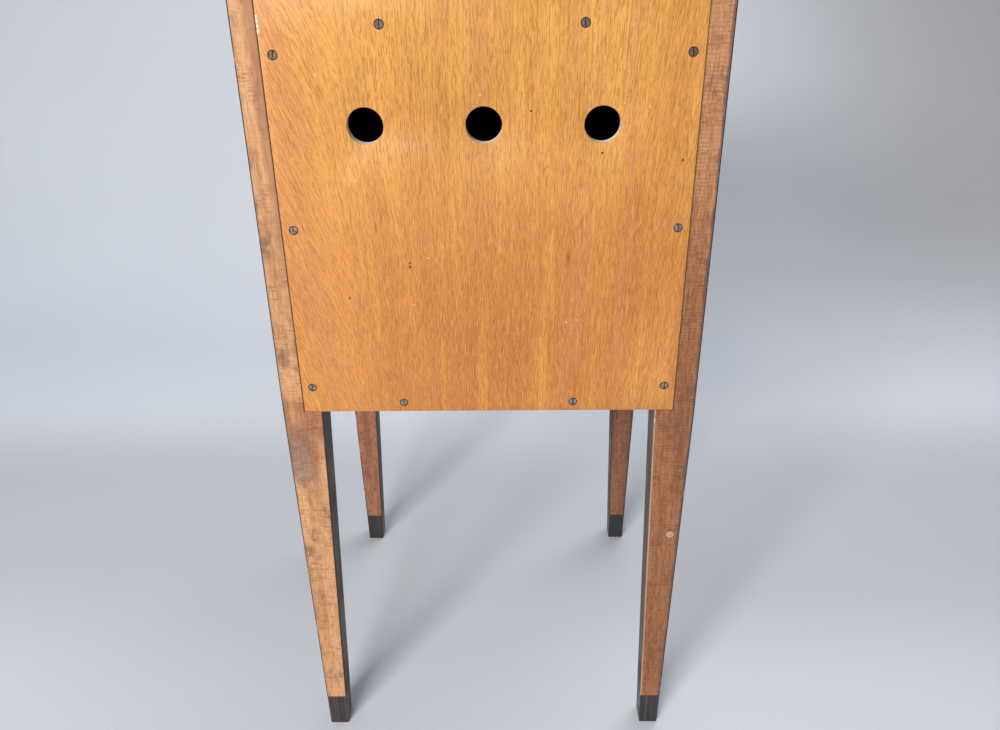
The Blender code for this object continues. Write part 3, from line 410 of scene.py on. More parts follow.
def rebated_leg(side, end):
    """A bmesh of a rear leg: tapered below the case, with the panel's rebate above."""
    bm = leg_length(side, end, FOOT_TOP, CASE_LOW)
    roof = [face for face in bm.faces if face.normal.z > SQUARE_ON]
    for at, across in (((side * REBATE_X, 0, 0), (1, 0, 0)), ((0, REBATE_Y, 0), (0, 1, 0))):
        bmesh.ops.bisect_plane(bm, geom=whole(roof), dist=TOUCHING, plane_co=at, plane_no=across)
        bm.normal_update()
        roof = [face for face in bm.faces if face.normal.z > SQUARE_ON]
    roof = [
        face for face in roof
        if not (abs(face.calc_center_median().x) < REBATE_X and face.calc_center_median().y > REBATE_Y)
    ]
    grown = bmesh.ops.extrude_face_region(bm, geom=roof)["geom"]
    bmesh.ops.delete(bm, geom=roof, context="FACES_ONLY")
    lifted = [part for part in grown if isinstance(part, bmesh.types.BMVert)]
    bmesh.ops.translate(bm, verts=lifted, vec=(0, 0, CASE_HIGH - CASE_LOW))
    bmesh.ops.dissolve_limit(bm, angle_limit=NEARLY_FLAT, verts=bm.verts, edges=bm.edges)
    bmesh.ops.recalc_face_normals(bm, faces=bm.faces)
    long_edges = [
        edge for edge in bm.edges
        if abs(edge.verts[0].co.z - edge.verts[1].co.z) > LEG_WIDTH
        and all(at_corner(side, end, v) for v in edge.verts)
    ]
    bmesh.ops.bevel(
        bm, geom=long_edges, offset=ARRIS, segments=ARRIS_STEPS, profile=0.5, affect="EDGES", material=-1
    )
    bm.normal_update()
    return bm


# the front legs keep the slot for the latch and the recesses for the hinges that are cut into them
for place_name, (side, end) in PLACES.items():
    bm = rebated_leg(side, end) if end > 0 else merged(f"leg_{place_name}")
    for face in bm.faces:
        face.material_index = leg_finish(side, end, face)
    leg = keep(f"leg_{place_name}_post", bm, LEG_FINISHES, "case", f"leg_{place_name}", smooth=50)

# Feet. A block of near-black striped hardwood under each leg, planed to the leg's taper, its edges rounded by
# hand. Its spigot, glued up into the leg, is not drawn.
FOOT_ROUND = 0.0016
BLACK_GROUND = (0.019, 0.019, 0.022)
RED_STRIPE = (0.112, 0.050, 0.041)
BLACK_PORE = (0.008, 0.008, 0.009)
GREY_SCUFF = (0.12, 0.11, 0.11)


def striped_black_wood():
    """Black wood with narrow red-brown stripes along the grain, fainter at the front, and a waxed surface."""
    material, tree, shader, place = start_finish("striped_black_wood")
    y = add(tree, "SeparateXYZ", {"Vector": place}).outputs["Y"]
    stripe = cloud(tree, stretch(tree, place, 430.0, along_z=5.0), 1.0, 3.0, 0.6)
    red = calc(tree, "MULTIPLY", spread(tree, stripe, 0.50, 0.64), spread(tree, y, -0.02, 0.02, 0.35, 1.0))
    pore = cloud(tree, stretch(tree, place, 1400.0, along_z=60.0), 1.0, 2.0)
    scuff = cloud(tree, stretch(tree, place, 90.0, along_z=130.0), 1.0, 4.0, 0.7)
    colour = tint(tree, red, BLACK_GROUND, RED_STRIPE)
    colour = tint(tree, spread(tree, pore, 0.55, 0.72, 0.0, 0.6), colour, BLACK_PORE)
    colour = tint(tree, spread(tree, scuff, 0.60, 0.76, 0.0, 0.5), colour, GREY_SCUFF)
    tree.links.new(colour, shader.inputs["Base Color"])
    tree.links.new(spread(tree, scuff, 0.3, 0.75, 0.30, 0.60), shader.inputs["Roughness"])
    raise_grain(tree, shader, calc(tree, "ADD", pore, scuff), 0.15, 0.0003)
    return material


BLACK_WOOD = striped_black_wood()

for place_name, (side, end) in PLACES.items():
    bm = leg_length(side, end, 0.0, FOOT_TOP - JOINT_GAP)
    eased = [edge for edge in bm.edges if any(v.co.z < TOUCHING for v in edge.verts)]
    bmesh.ops.bevel(bm, geom=eased, offset=FOOT_ROUND, segments=4, profile=0.5, affect="EDGES", material=-1)
    foot = keep(f"foot_{place_name}_block", bm, (BLACK_WOOD,), "case", f"foot_{place_name}", smooth=40)

# Plug. A round peg of pale wood glued into an old hole in the left rear leg, pared level and a little
# rounded at its rim, so that its end grain shows.
PLUG_RADIUS = 0.00425
PLUG_DEPTH = 0.006
PLUG_PROUD = 0.0002
PLUG_ROUND = 0.0005
TO_REAR = Matrix.Rotation(-math.pi / 2, 4, "X")
PEG_PALE = (0.490, 0.280, 0.160)
PEG_RING = (0.410, 0.225, 0.122)
PEG_DOT = (0.24, 0.115, 0.056)


def pale_end_grain():
    """End grain of a pale peg: faint rings and dots round its heart."""
    material, tree, shader, place = start_finish("pale_end_grain")
    centred = add(tree, "Mapping", {"Vector": place, "Location": [-v for v in PLUG_PLACE]}).outputs[0]
    ring = add(
        tree, "TexWave", {"Vector": centred, "Scale": 260.0, "Distortion": 3.0, "Detail": 2.0},
        wave_type="RINGS", rings_direction="Y",
    ).outputs["Fac"]
    dots = cloud(tree, centred, 1800.0, 2.0)
    colour = tint(tree, ring, PEG_PALE, PEG_RING)
    colour = tint(tree, spread(tree, dots, 0.56, 0.70, 0.0, 0.5), colour, PEG_DOT)
    tree.links.new(colour, shader.inputs["Base Color"])
    tree.links.new(spread(tree, dots, 0.3, 0.7, 0.55, 0.7), shader.inputs["Roughness"])
    raise_grain(tree, shader, ring, 0.15, 0.0003)
    return material


bm = bmesh.new()
disc = bmesh.ops.create_circle(bm, cap_ends=True, segments=32, radius=PLUG_RADIUS)["verts"]
bmesh.ops.translate(bm, verts=disc, vec=(0, 0, -PLUG_DEPTH))
grown = bmesh.ops.extrude_face_region(bm, geom=bm.faces[:])["geom"]
crown = [part for part in grown if isinstance(part, bmesh.types.BMVert)]
bmesh.ops.translate(bm, verts=crown, vec=(0, 0, PLUG_DEPTH + PLUG_PROUD))
rim = [edge for edge in bm.edges if all(v in crown for v in edge.verts)]
bmesh.ops.bevel(bm, geom=rim, offset=PLUG_ROUND, segments=3, profile=0.5, affect="EDGES", material=-1)
bmesh.ops.recalc_face_normals(bm, faces=bm.faces)
bmesh.ops.transform(bm, matrix=Matrix.Translation(PLUG_PLACE) @ TO_REAR, verts=bm.verts)
plug = keep("leg_plug_peg", bm, (pale_end_grain(),), "case", "leg_plug")

# Case boards. Hardwood, tongued and tenoned into the legs. The sides, and the fronts of the top rail, the
# divider and the bottom, are stained and polished dark like the legs' sides. The rest of the inside is bare.
EDGE_EASE = 0.0007
LONG_EDGE = 0.02
SHARP = 1.0
BARE_PALE = (0.56, 0.37, 0.20)
BARE_TAN = (0.40, 0.23, 0.11)


def dress(finish, *nodes):
    """Gives CAD nodes that keep their own shape a finish."""
    for name in nodes:
        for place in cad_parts[name].material_slots:
            place.material = finish


BOARD_DARK = (0.036, 0.018, 0.012)
BOARD_RED = (0.155, 0.068, 0.038)
BOARD_STREAK = (0.050, 0.024, 0.016)
BOARD_PORE = (0.012, 0.008, 0.007)


def polished_wood(name, along):
    """Dark French-polished hardwood: long figure, short pores, a deep even gloss."""
    material, tree, shader, place = start_finish(name)
    figure = cloud(tree, stretch(tree, place, 38.0, **{along: 2.2}), 1.0, 5.0, 0.62)
    streak = cloud(tree, stretch(tree, place, 300.0, **{along: 6.0}), 1.0, 3.0, 0.6)
    pore = cloud(tree, stretch(tree, place, 1100.0, **{along: 50.0}), 1.0, 2.0)
    haze = cloud(tree, place, 9.0, 3.0)
    colour = tint(tree, spread(tree, figure, 0.34, 0.68), BOARD_DARK, BOARD_RED)
    colour = tint(tree, spread(tree, streak, 0.45, 0.72, 0.0, 0.6), colour, BOARD_STREAK)
    colour = tint(tree, spread(tree, pore, 0.60, 0.72, 0.0, 0.7), colour, BOARD_PORE)
    tree.links.new(colour, shader.inputs["Base Color"])
    tree.links.new(spread(tree, haze, 0.3, 0.7, 0.20, 0.34), shader.inputs["Roughness"])
    shader.inputs["Coat Weight"].default_value = 0.25
    shader.inputs["Coat Roughness"].default_value = 0.12
    raise_grain(tree, shader, pore, 0.10, 0.0002)
    return material


def bare_board(name, along, light, dark):
    """Plain unfinished softwood or beech for the parts that nobody sees."""
    material, tree, shader, place = start_finish(name)
    figure = cloud(tree, stretch(tree, place, 60.0, **{along: 2.5}), 1.0, 4.0, 0.55)
    streak = cloud(tree, stretch(tree, place, 420.0, **{along: 9.0}), 1.0, 3.0, 0.6)
    fleck = cloud(tree, stretch(tree, place, 1200.0, **{along: 90.0}), 1.0, 2.0)
    colour = tint(tree, spread(tree, figure, 0.35, 0.65), light, dark)
    colour = tint(tree, spread(tree, streak, 0.5, 0.75, 0.0, 0.5), colour, dark)
    colour = tint(tree, spread(tree, fleck, 0.6, 0.72, 0.0, 0.45), colour, [v * 0.45 for v in dark])
    tree.links.new(colour, shader.inputs["Base Color"])
    tree.links.new(spread(tree, streak, 0.3, 0.7, 0.55, 0.72), shader.inputs["Roughness"])
    raise_grain(tree, shader, streak, 0.2, 0.0003)
    return material


def eased_copy(name, body, finish, inside):
    """A piece in place of a CAD node, the long edges of its front eased and rubbed."""
    bm = merged(name)
    bmesh.ops.dissolve_limit(bm, angle_limit=NEARLY_FLAT, verts=bm.verts, edges=bm.edges)
    bm.normal_update()
    front = min(v.co.y for v in bm.verts)
    long_edges = [
        edge for edge in bm.edges
        if edge.calc_length() > LONG_EDGE and edge.calc_face_angle(0.0) > SHARP
        and all(v.co.y - front < NEARLY_TOUCHING for v in edge.verts)
    ]
    bmesh.ops.bevel(
        bm, geom=long_edges, offset=EDGE_EASE, segments=ARRIS_STEPS, profile=0.5, affect="EDGES",
        material=-1, clamp_overlap=True,
    )
    bm.normal_update()
    on_face, on_edge, within = range(3)
    for face in bm.faces:
        if face.calc_center_median().y > front + EDGE_EASE:
            face.material_index = within
        else:
            face.material_index = on_face if -face.normal.y > SQUARE_ON else on_edge
    piece = keep(f"{name}_eased", bm, (finish, WORN, inside), body, name)


UPRIGHT_POLISH = polished_wood("polish_upright_grain", "along_z")
CROSS_POLISH = polished_wood("polish_cross_grain", "along_x")
BARE_CROSS = bare_board("bare_wood_cross", "along_x", BARE_PALE, BARE_TAN)
BARE_DEEP = bare_board("bare_wood_front_to_back", "along_y", BARE_PALE, BARE_TAN)
dress(UPRIGHT_POLISH, "side_left", "side_right")
for name in ("top_front_rail", "drawer_divider", "bottom_board"):
    eased_copy(name, "case", CROSS_POLISH, BARE_CROSS)
dress(BARE_CROSS, "top_rear_rail", "dust_panel", "drawer_stop_left", "drawer_stop_right", "door_stop")
dress(BARE_DEEP, "drawer_runner_left", "drawer_runner_right", "kicker_left", "kicker_right")

# Back panel. One sheet of plywood faced with golden oak veneer, let into rebates in the rear legs and bored
# with three vents. The veneer is clear-lacquered, and the pale core shows on the walls of the vents.
PANEL_HALF = 0.1697
PANEL_LOW = CASE_LOW
PANEL_HIGH = CASE_HIGH
PANEL_FRONT = REBATE_Y
PANEL_EASE = 0.0006
VENEER_TURN = 0.3
VENT_HEIGHT = 0.6705
VENT_SPACING = 0.0937
VENT_RADIUS = 0.0145
VENT_STEPS = 64
KNOT = (-0.0692, REAR_Y, 0.560)
GRAIN_UPRIGHT_AT = 0.59
WORMHOLES = (
    (0.0645, 0.5556), (0.0647, 0.5520), (0.1181, 0.5238),
    (-0.0371, 0.6813), (-0.0943, 0.6480), (-0.1591, 0.6418),
)
BRUISES = (
    (0.0026, 0.6938), (-0.1101, 0.6868), (-0.1298, 0.6836),
    (0.0631, 0.5168), (-0.0691, 0.4997), (-0.0778, 0.5015),
    (0.1290, 0.7097), (0.0490, 0.5600), (0.1312, 0.4149),
)
TORN_EDGE = ((0.1693, 0.7520), (0.1691, 0.7488), (0.1690, 0.7452), (0.1693, 0.7415))
SCREW_COUNT = 10
SCREW_HOLE = 0.0038
SCREW_HOLE_STEPS = 24
SCREW_PLACES = []
for number in range(1, SCREW_COUNT + 1):
    low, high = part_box(f"back_screw_{number:02d}")
    SCREW_PLACES.append(((low.x + high.x) / 2, (low.z + high.z) / 2))


def nearest(tree, place, points):
    """Distance to the nearest of some points on the rear face."""
    apart = None
    for x, z in points:
        away = add(tree, "VectorMath", {0: place, 1: (x, REAR_Y, z)}, operation="DISTANCE").outputs["Value"]
        apart = away if apart is None else calc(tree, "MINIMUM", apart, away)
    return apart


WORMHOLE_EDGE = (0.0011, 0.0006)
BRUISE_EDGE = (0.0024, 0.0014)
SCREW_RING_EDGE = (0.0044, 0.0037)
TORN_RIM = (0.0004, -0.0003)
GOLD_LOW = (0.515, 0.200, 0.046)
GOLD_HIGH = (0.635, 0.326, 0.072)
AMBER_LOW = (0.420, 0.146, 0.032)
AMBER_HIGH = (0.540, 0.244, 0.050)
YELLOW_OAK = (0.640, 0.290, 0.080)
BLUSH_RED = (0.500, 0.200, 0.078)
BLUSH_GOLD = (0.680, 0.325, 0.070)
FLECK_PALE = (0.690, 0.350, 0.105)
STREAK_BROWN = (0.350, 0.116, 0.025)
DASH_BROWN = (0.300, 0.096, 0.020)
PORE_BROWN = (0.220, 0.070, 0.016)
KNOT_BROWN = (0.210, 0.070, 0.020)
BRUISE_PALE = (0.76, 0.50, 0.22)
WORMHOLE_BLACK = (0.030, 0.014, 0.008)
SCREW_RING_BROWN = (0.120, 0.052, 0.024)
TORN_PALE = (0.66, 0.56, 0.42)


def oak_veneer():
    """Straight-grained oak: dense fine dashes and pores, soft bands, a lean to the grain near both edges."""
    material, tree, shader, place = start_finish("oak_veneer")
    x, y, z = add(tree, "SeparateXYZ", {"Vector": place}).outputs
    height = calc(tree, "SUBTRACT", z, GRAIN_UPRIGHT_AT)
    lean = spread(tree, x, 0.02, 0.172, 0.0, 0.14)
    lean = calc(tree, "SUBTRACT", lean, spread(tree, x, -0.05, -0.17, 0.0, 0.09))
    wander = cloud(tree, stretch(tree, place, 10.0, along_z=5.0), 1.0, 2.0)
    across = calc(tree, "SUBTRACT", x, calc(tree, "MULTIPLY", lean, height))
    across = calc(tree, "ADD", across, calc(tree, "MULTIPLY", wander, 0.009))
    # the grain parts round one small knot
    offset = add(tree, "VectorMath", {0: place, 1: KNOT}, operation="SUBTRACT").outputs[0]
    knot = add(
        tree, "VectorMath", {0: stretch(tree, offset, 480.0, along_y=0.0, along_z=210.0)}, operation="LENGTH"
    ).outputs["Value"]
    aside = calc(tree, "MULTIPLY", calc(tree, "SUBTRACT", x, KNOT[0]), spread(tree, knot, 4.0, 0.0, 0.0, 0.7))
    across = calc(tree, "SUBTRACT", across, aside)
    grain = add(tree, "CombineXYZ", {"X": across, "Y": y, "Z": z}).outputs[0]
    slant = calc(tree, "SUBTRACT", across, calc(tree, "MULTIPLY", z, 0.22))
    slanted = add(tree, "CombineXYZ", {"X": slant, "Y": y, "Z": z}).outputs[0]
    patch = cloud(tree, place, 9.0, 3.0)
    near_edge = spread(tree, calc(tree, "ADD", x, calc(tree, "MULTIPLY", patch, 0.06)), 0.125, 0.185)

    def drawn(wide, long):
        """A pattern drawn out along the grain, which slants near the +X edge."""
        ways = [cloud(tree, stretch(tree, way, wide, along_z=long), 1.0, 1.0) for way in (grain, slanted)]
        return spread(tree, near_edge, 0.0, 1.0, *ways)

    band = cloud(tree, stretch(tree, grain, 24.0, along_z=1.8), 1.0, 3.0, 0.55)
    blush = cloud(tree, stretch(tree, grain, 52.0, along_z=2.6), 1.0, 3.0, 0.6)
    streak = drawn(850.0, 11.0)
    dash = drawn(1150.0, 85.0)
    fleck = drawn(1500.0, 110.0)
    pore = drawn(2000.0, 150.0)
    # the veneer is drawn paler towards the top: partly its own tone, partly painted light where the lamps
    # fall stronger
    rise = spread(tree, z, 0.47, 0.76)
    gold = tint(tree, rise, GOLD_LOW, GOLD_HIGH)
    amber = tint(tree, rise, AMBER_LOW, AMBER_HIGH)
    colour = tint(tree, spread(tree, band, 0.35, 0.65), gold, amber)
    colour = tint(tree, spread(tree, patch, 0.48, 0.70, 0.0, 0.55), colour, amber)
    corner = calc(tree, "MULTIPLY", spread(tree, x, -0.07, -0.15), spread(tree, z, 0.54, 0.45))
    yellow = calc(tree, "ADD", spread(tree, x, 0.03, 0.15, 0.0, 0.50), calc(tree, "MULTIPLY", corner, 0.50))
    colour = tint(tree, yellow, colour, YELLOW_OAK)
    colour = tint(tree, spread(tree, blush, 0.50, 0.66, 0.0, 0.45), colour, BLUSH_RED)
    colour = tint(tree, spread(tree, blush, 0.47, 0.33, 0.0, 0.40), colour, BLUSH_GOLD)
    colour = tint(tree, spread(tree, fleck, 0.54, 0.62, 0.0, 0.34), colour, FLECK_PALE)
    colour = tint(tree, spread(tree, streak, 0.50, 0.62, 0.0, 0.28), colour, STREAK_BROWN)
    colour = tint(tree, spread(tree, dash, 0.56, 0.62, 0.0, 0.26), colour, DASH_BROWN)
    colour = tint(tree, spread(tree, pore, 0.54, 0.60, 0.0, 0.44), colour, PORE_BROWN)
    colour = tint(tree, spread(tree, knot, 1.30, 0.40, 0.0, 0.60), colour, KNOT_BROWN)
    bruise = calc(tree, "ADD", nearest(tree, place, BRUISES), calc(tree, "MULTIPLY", fleck, 0.0022))
    colour = tint(tree, spread(tree, bruise, *BRUISE_EDGE, 0.0, 0.55), colour, BRUISE_PALE)
    worm = spread(tree, nearest(tree, place, WORMHOLES), *WORMHOLE_EDGE)
    colour = tint(tree, worm, colour, WORMHOLE_BLACK)
    ring = spread(tree, nearest(tree, place, SCREW_PLACES), *SCREW_RING_EDGE, 0.0, 0.60)
    colour = tint(tree, ring, colour, SCREW_RING_BROWN)
    torn = calc(tree, "SUBTRACT", nearest(tree, place, TORN_EDGE), calc(tree, "MULTIPLY", fleck, 0.0030))
    colour = tint(tree, spread(tree, torn, *TORN_RIM), colour, TORN_PALE)
    tree.links.new(colour, shader.inputs["Base Color"])
    tree.links.new(spread(tree, dash, 0.35, 0.70, 0.38, 0.52), shader.inputs["Roughness"])
    shader.inputs["Specular IOR Level"].default_value = 0.32
    raise_grain(tree, shader, calc(tree, "ADD", dash, streak), -0.14, 0.0003)
    return material


# pale plies, drawn paler still as painted light on the vent walls, which the lamps leave in shade
PLY_PALE_WITH_PAINTED_LIGHT = (0.90, 0.84, 0.72)
PLY_TAN = (0.76, 0.67, 0.54)
PLY_FIBRE = (0.44, 0.30, 0.18)


def plywood_core():
    """Cut edge of plywood: pale plies, end grain and long grain by turns."""
    material, tree, shader, place = start_finish("plywood_core")
    ply = add(
        tree, "TexWave", {"Vector": place, "Scale": 60.0, "Distortion": 0.6, "Detail": 2.0},
        wave_type="BANDS", bands_direction="Y",
    ).outputs["Fac"]
    fibre = cloud(tree, place, 900.0, 3.0, 0.6)
    colour = tint(tree, ply, PLY_PALE_WITH_PAINTED_LIGHT, PLY_TAN)
    colour = tint(tree, spread(tree, fibre, 0.5, 0.7, 0.0, 0.5), colour, PLY_FIBRE)
    tree.links.new(colour, shader.inputs["Base Color"])
    tree.links.new(spread(tree, fibre, 0.3, 0.7, 0.6, 0.8), shader.inputs["Roughness"])
    raise_grain(tree, shader, fibre, 0.3, 0.0003)
    return material


DIRT_DARK = (0.020, 0.014, 0.010)
DIRT_BROWN = (0.060, 0.040, 0.026)


def packed_dirt():
    """Dark dirt in the countersinks, crumbly and dull."""
    material, tree, shader, place = start_finish("packed_dirt")
    crumb = cloud(tree, place, 2200.0, 3.0, 0.6)
    colour = tint(tree, crumb, DIRT_DARK, DIRT_BROWN)
    tree.links.new(colour, shader.inputs["Base Color"])
    tree.links.new(spread(tree, crumb, 0.3, 0.7, 0.8, 0.95), shader.inputs["Roughness"])
    raise_grain(tree, shader, crumb, 0.3, 0.0002)
    return material


bm = bmesh.new()
bmesh.ops.create_grid(bm, x_segments=1, y_segments=1, size=1.0)
for corner in bm.verts:
    z = PANEL_HIGH if corner.co.y > 0 else PANEL_LOW
    corner.co = (math.copysign(PANEL_HALF, corner.co.x), PANEL_FRONT, z)
bmesh.ops.delete(bm, geom=bm.faces[:], context="FACES_ONLY")
openings = [(offset * VENT_SPACING, VENT_HEIGHT, VENT_RADIUS, VENT_STEPS) for offset in (-1, 0, 1)]
openings += [(x, z, SCREW_HOLE, SCREW_HOLE_STEPS) for x, z in SCREW_PLACES]
for x, z, radius, segments in openings:
    turn = Matrix.Translation((x, PANEL_FRONT, z)) @ TO_REAR
    bmesh.ops.create_circle(bm, segments=segments, radius=radius, matrix=turn)
bmesh.ops.triangle_fill(bm, use_beauty=True, use_dissolve=False, edges=bm.edges[:])
grown = bmesh.ops.extrude_face_region(bm, geom=bm.faces[:])["geom"]
outer = [part for part in grown if isinstance(part, bmesh.types.BMVert)]
bmesh.ops.translate(bm, verts=outer, vec=(0, REAR_Y - PANEL_FRONT, 0))
bmesh.ops.recalc_face_normals(bm, faces=bm.faces)


def by_screw(point):
    """Whether a point of the panel lies at one of its countersinks."""
    return min(math.dist((point.x, point.z), spot) for spot in SCREW_PLACES) < 2 * SCREW_HOLE


rims = [
    edge for edge in bm.edges
    if all(abs(v.co.y - REAR_Y) < TOUCHING for v in edge.verts) and edge.calc_face_angle(0.0) > SHARP
    and not by_screw(edge.verts[0].co)
]
bmesh.ops.bevel(bm, geom=rims, offset=PANEL_EASE, segments=2, profile=0.5, affect="EDGES", material=-1)
bm.normal_update()
on_veneer, on_core, on_dirt = range(3)
for face in bm.faces:
    if abs(face.normal.y) > VENEER_TURN:
        face.material_index = on_veneer
    else:
        face.material_index = on_dirt if by_screw(face.calc_center_median()) else on_core
panel = keep("back_panel_sheet", bm, (oak_veneer(), plywood_core(), packed_dirt()), "case", "back_panel")

# Back screws. Ten slotted countersunk steel screws hold the panel to the legs, the rear rail and the bottom
# board. Their heads have browned with age, and dirt has settled in the slots and round the rims. The slots
# and the upper heads are also painted with shade.
SCREW_HEAD = 0.0035
SCREW_SHANK = 0.00175
SCREW_LENGTH = 0.018
SCREW_SUNK = 0.0001
SLOT_HALF = 0.00036
SLOT_DEPTH = 0.0007
SLOT_TURNS = (-3, 4, -12, 3, 6, 2, 5, -4, 3, -5)
SCREW_STEPS = 32
RIM_DIRT_WIDTH = 0.0009
STEEL_GREY = (0.345, 0.285, 0.250)
STEEL_BROWN = (0.150, 0.098, 0.074)
STEEL_PAINTED_SHADE = (0.085, 0.056, 0.052)
SLOT_DIRT_AND_SHADE = (0.030, 0.021, 0.016)
RIM_DIRT = (0.045, 0.027, 0.019)


def aged_steel(name, dirt_and_shade):
    """Old steel: grey where it is rubbed, brown where it has tarnished, and dirty in the slot, with painted
    shade in the slot and on the upper screws.
    """
    material, tree, shader, place = start_finish(name)
    rust = cloud(tree, place, 420.0, 3.0, 0.6)
    brush = cloud(tree, place, 1500.0, 2.0)
    colour = tint(tree, spread(tree, rust, 0.42, 0.62), STEEL_GREY, STEEL_BROWN)
    shader.inputs["Metallic"].default_value = 0.6
    if dirt_and_shade:
        # painted shade: the upper screws are drawn the darkest, to damp the key lamp's highlight on them
        y, z = add(tree, "SeparateXYZ", {"Vector": place}).outputs[1:]
        colour = tint(tree, spread(tree, z, 0.60, 0.74, 0.0, 0.72), colour, STEEL_PAINTED_SHADE)
        # dirt and painted shade in the slots: everything sunk below the face of the head is drawn dark
        slot_dirt_and_shade = spread(tree, y, REAR_Y - 0.0006, REAR_Y - 0.0002)
        colour = tint(tree, slot_dirt_and_shade, SLOT_DIRT_AND_SHADE, colour)
        rim = spread(tree, nearest(tree, place, SCREW_PLACES), SCREW_HEAD - RIM_DIRT_WIDTH, SCREW_HEAD)
        colour = tint(tree, rim, colour, RIM_DIRT)
    tree.links.new(colour, shader.inputs["Base Color"])
    tree.links.new(spread(tree, brush, 0.3, 0.7, 0.40, 0.60), shader.inputs["Roughness"])
    raise_grain(tree, shader, calc(tree, "ADD", rust, brush), 0.2, 0.0002)
    return material


def spun(bm, outline, steps):
    """Spins an outline of radii and heights round the Z axis, as on a lathe."""
    points = [bm.verts.new((radius, 0, height)) for radius, height in outline]
    edges = [bm.edges.new(pair) for pair in zip(points, points[1:])]
    bmesh.ops.spin(
        bm, geom=points + edges, cent=(0, 0, 0), axis=(0, 0, 1), angle=math.tau, steps=steps, use_merge=True
    )
    bmesh.ops.remove_doubles(bm, verts=bm.verts, dist=TOUCHING)


def slotted_screw(head, shank, length, slot_half, slot_depth):
    """A bmesh of a slotted countersunk screw that points down its own Z axis, its head at the origin."""
    bm = bmesh.new()
    rim = head / 12
    outline = (
        (0.0, -length), (shank, 2 * shank - length), (shank, shank - head - rim), (head, -rim), (head, 0.0),
    )
    spun(bm, outline, SCREW_STEPS)
    bmesh.ops.edgeloop_fill(bm, edges=[edge for edge in bm.edges if edge.is_boundary])
    for offset in (slot_half, -slot_half):
        crown = [face for face in bm.faces if all(abs(v.co.z) < TOUCHING for v in face.verts)]
        bmesh.ops.bisect_plane(
            bm, geom=whole(crown), dist=TOUCHING, plane_co=(offset, 0, 0), plane_no=(1, 0, 0)
        )
    slot = [
        face for face in bm.faces
        if all(abs(v.co.z) < TOUCHING for v in face.verts)
        and abs(face.calc_center_median().x) < slot_half / 2
    ]
    grown = bmesh.ops.extrude_face_region(bm, geom=slot)["geom"]
    bmesh.ops.delete(bm, geom=slot, context="FACES_ONLY")
    floor = [part for part in grown if isinstance(part, bmesh.types.BMVert)]
    bmesh.ops.translate(bm, verts=floor, vec=(0, 0, -slot_depth))
    bm.normal_update()
    bmesh.ops.recalc_face_normals(bm, faces=bm.faces)
    return bm


STEEL = aged_steel("aged_steel", dirt_and_shade=True)

for number, ((x, z), turn) in enumerate(zip(SCREW_PLACES, SLOT_TURNS), start=1):
    bm = slotted_screw(SCREW_HEAD, SCREW_SHANK, SCREW_LENGTH, SLOT_HALF, SLOT_DEPTH)
    seat = Matrix.Translation((x, REAR_Y - SCREW_SUNK, z)) @ TO_REAR
    bmesh.ops.transform(bm, matrix=seat @ Matrix.Rotation(math.radians(turn), 4, "Z"), verts=bm.verts)
    screw = keep(f"back_screw_{number:02d}_slotted", bm, (STEEL,), "case", f"back_screw_{number:02d}")

# Top. One dark polished board, level with the back of the case and proud of its sides and front, with softly
# rounded edges. Four slotted screws come up into it through the kickers.
TOP_ROUND = 0.003
EDGE_TURN = 0.9

bm = bmesh.new()
bmesh.ops.create_cube(bm, size=1.0)
low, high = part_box("top_board")
bmesh.ops.scale(bm, vec=high - low, verts=bm.verts)
bmesh.ops.translate(bm, vec=(low + high) / 2, verts=bm.verts)
bmesh.ops.bevel(bm, geom=bm.edges[:], offset=TOP_ROUND, segments=4, profile=0.5, affect="EDGES", material=-1)
bm.normal_update()
on_board, on_edge = range(2)
for face in bm.faces:
    face.material_index = on_board if max(abs(v) for v in face.normal) > EDGE_TURN else on_edge
top = keep("top_board_polished", bm, (CROSS_POLISH, WORN), "case", "top_board", smooth=40)
dress(aged_steel("plain_steel", dirt_and_shade=False), *[f"top_screw_{place_name}" for place_name in PLACES])

# Drawer. A dark polished front with pale sides half-blind dovetailed into it, a thin bottom in grooves, and a
# turned knob of black wood whose spigot goes through the front.
KNOB_RADIUS = 0.012
KNOB_REACH = 0.024
KNOB_HEAD = 0.014
COLLAR_RADIUS = 0.007
COLLAR_HEIGHT = 0.003
NECK_RADIUS = 0.005
COLLAR_ROUND = 0.0004
NECK_HEIGHT = 0.0065
NECK_STRAIGHT = 0.0010
SPIGOT_RADIUS = 0.0045
HEAD_FROM = -60
HEAD_TO = 90
HEAD_STEP = 6
GROOVE_AT = 42
GROOVE_DEPTH = 0.0003
KNOB_STEPS = 48
TO_FRONT = Matrix.Rotation(math.pi / 2, 4, "X")


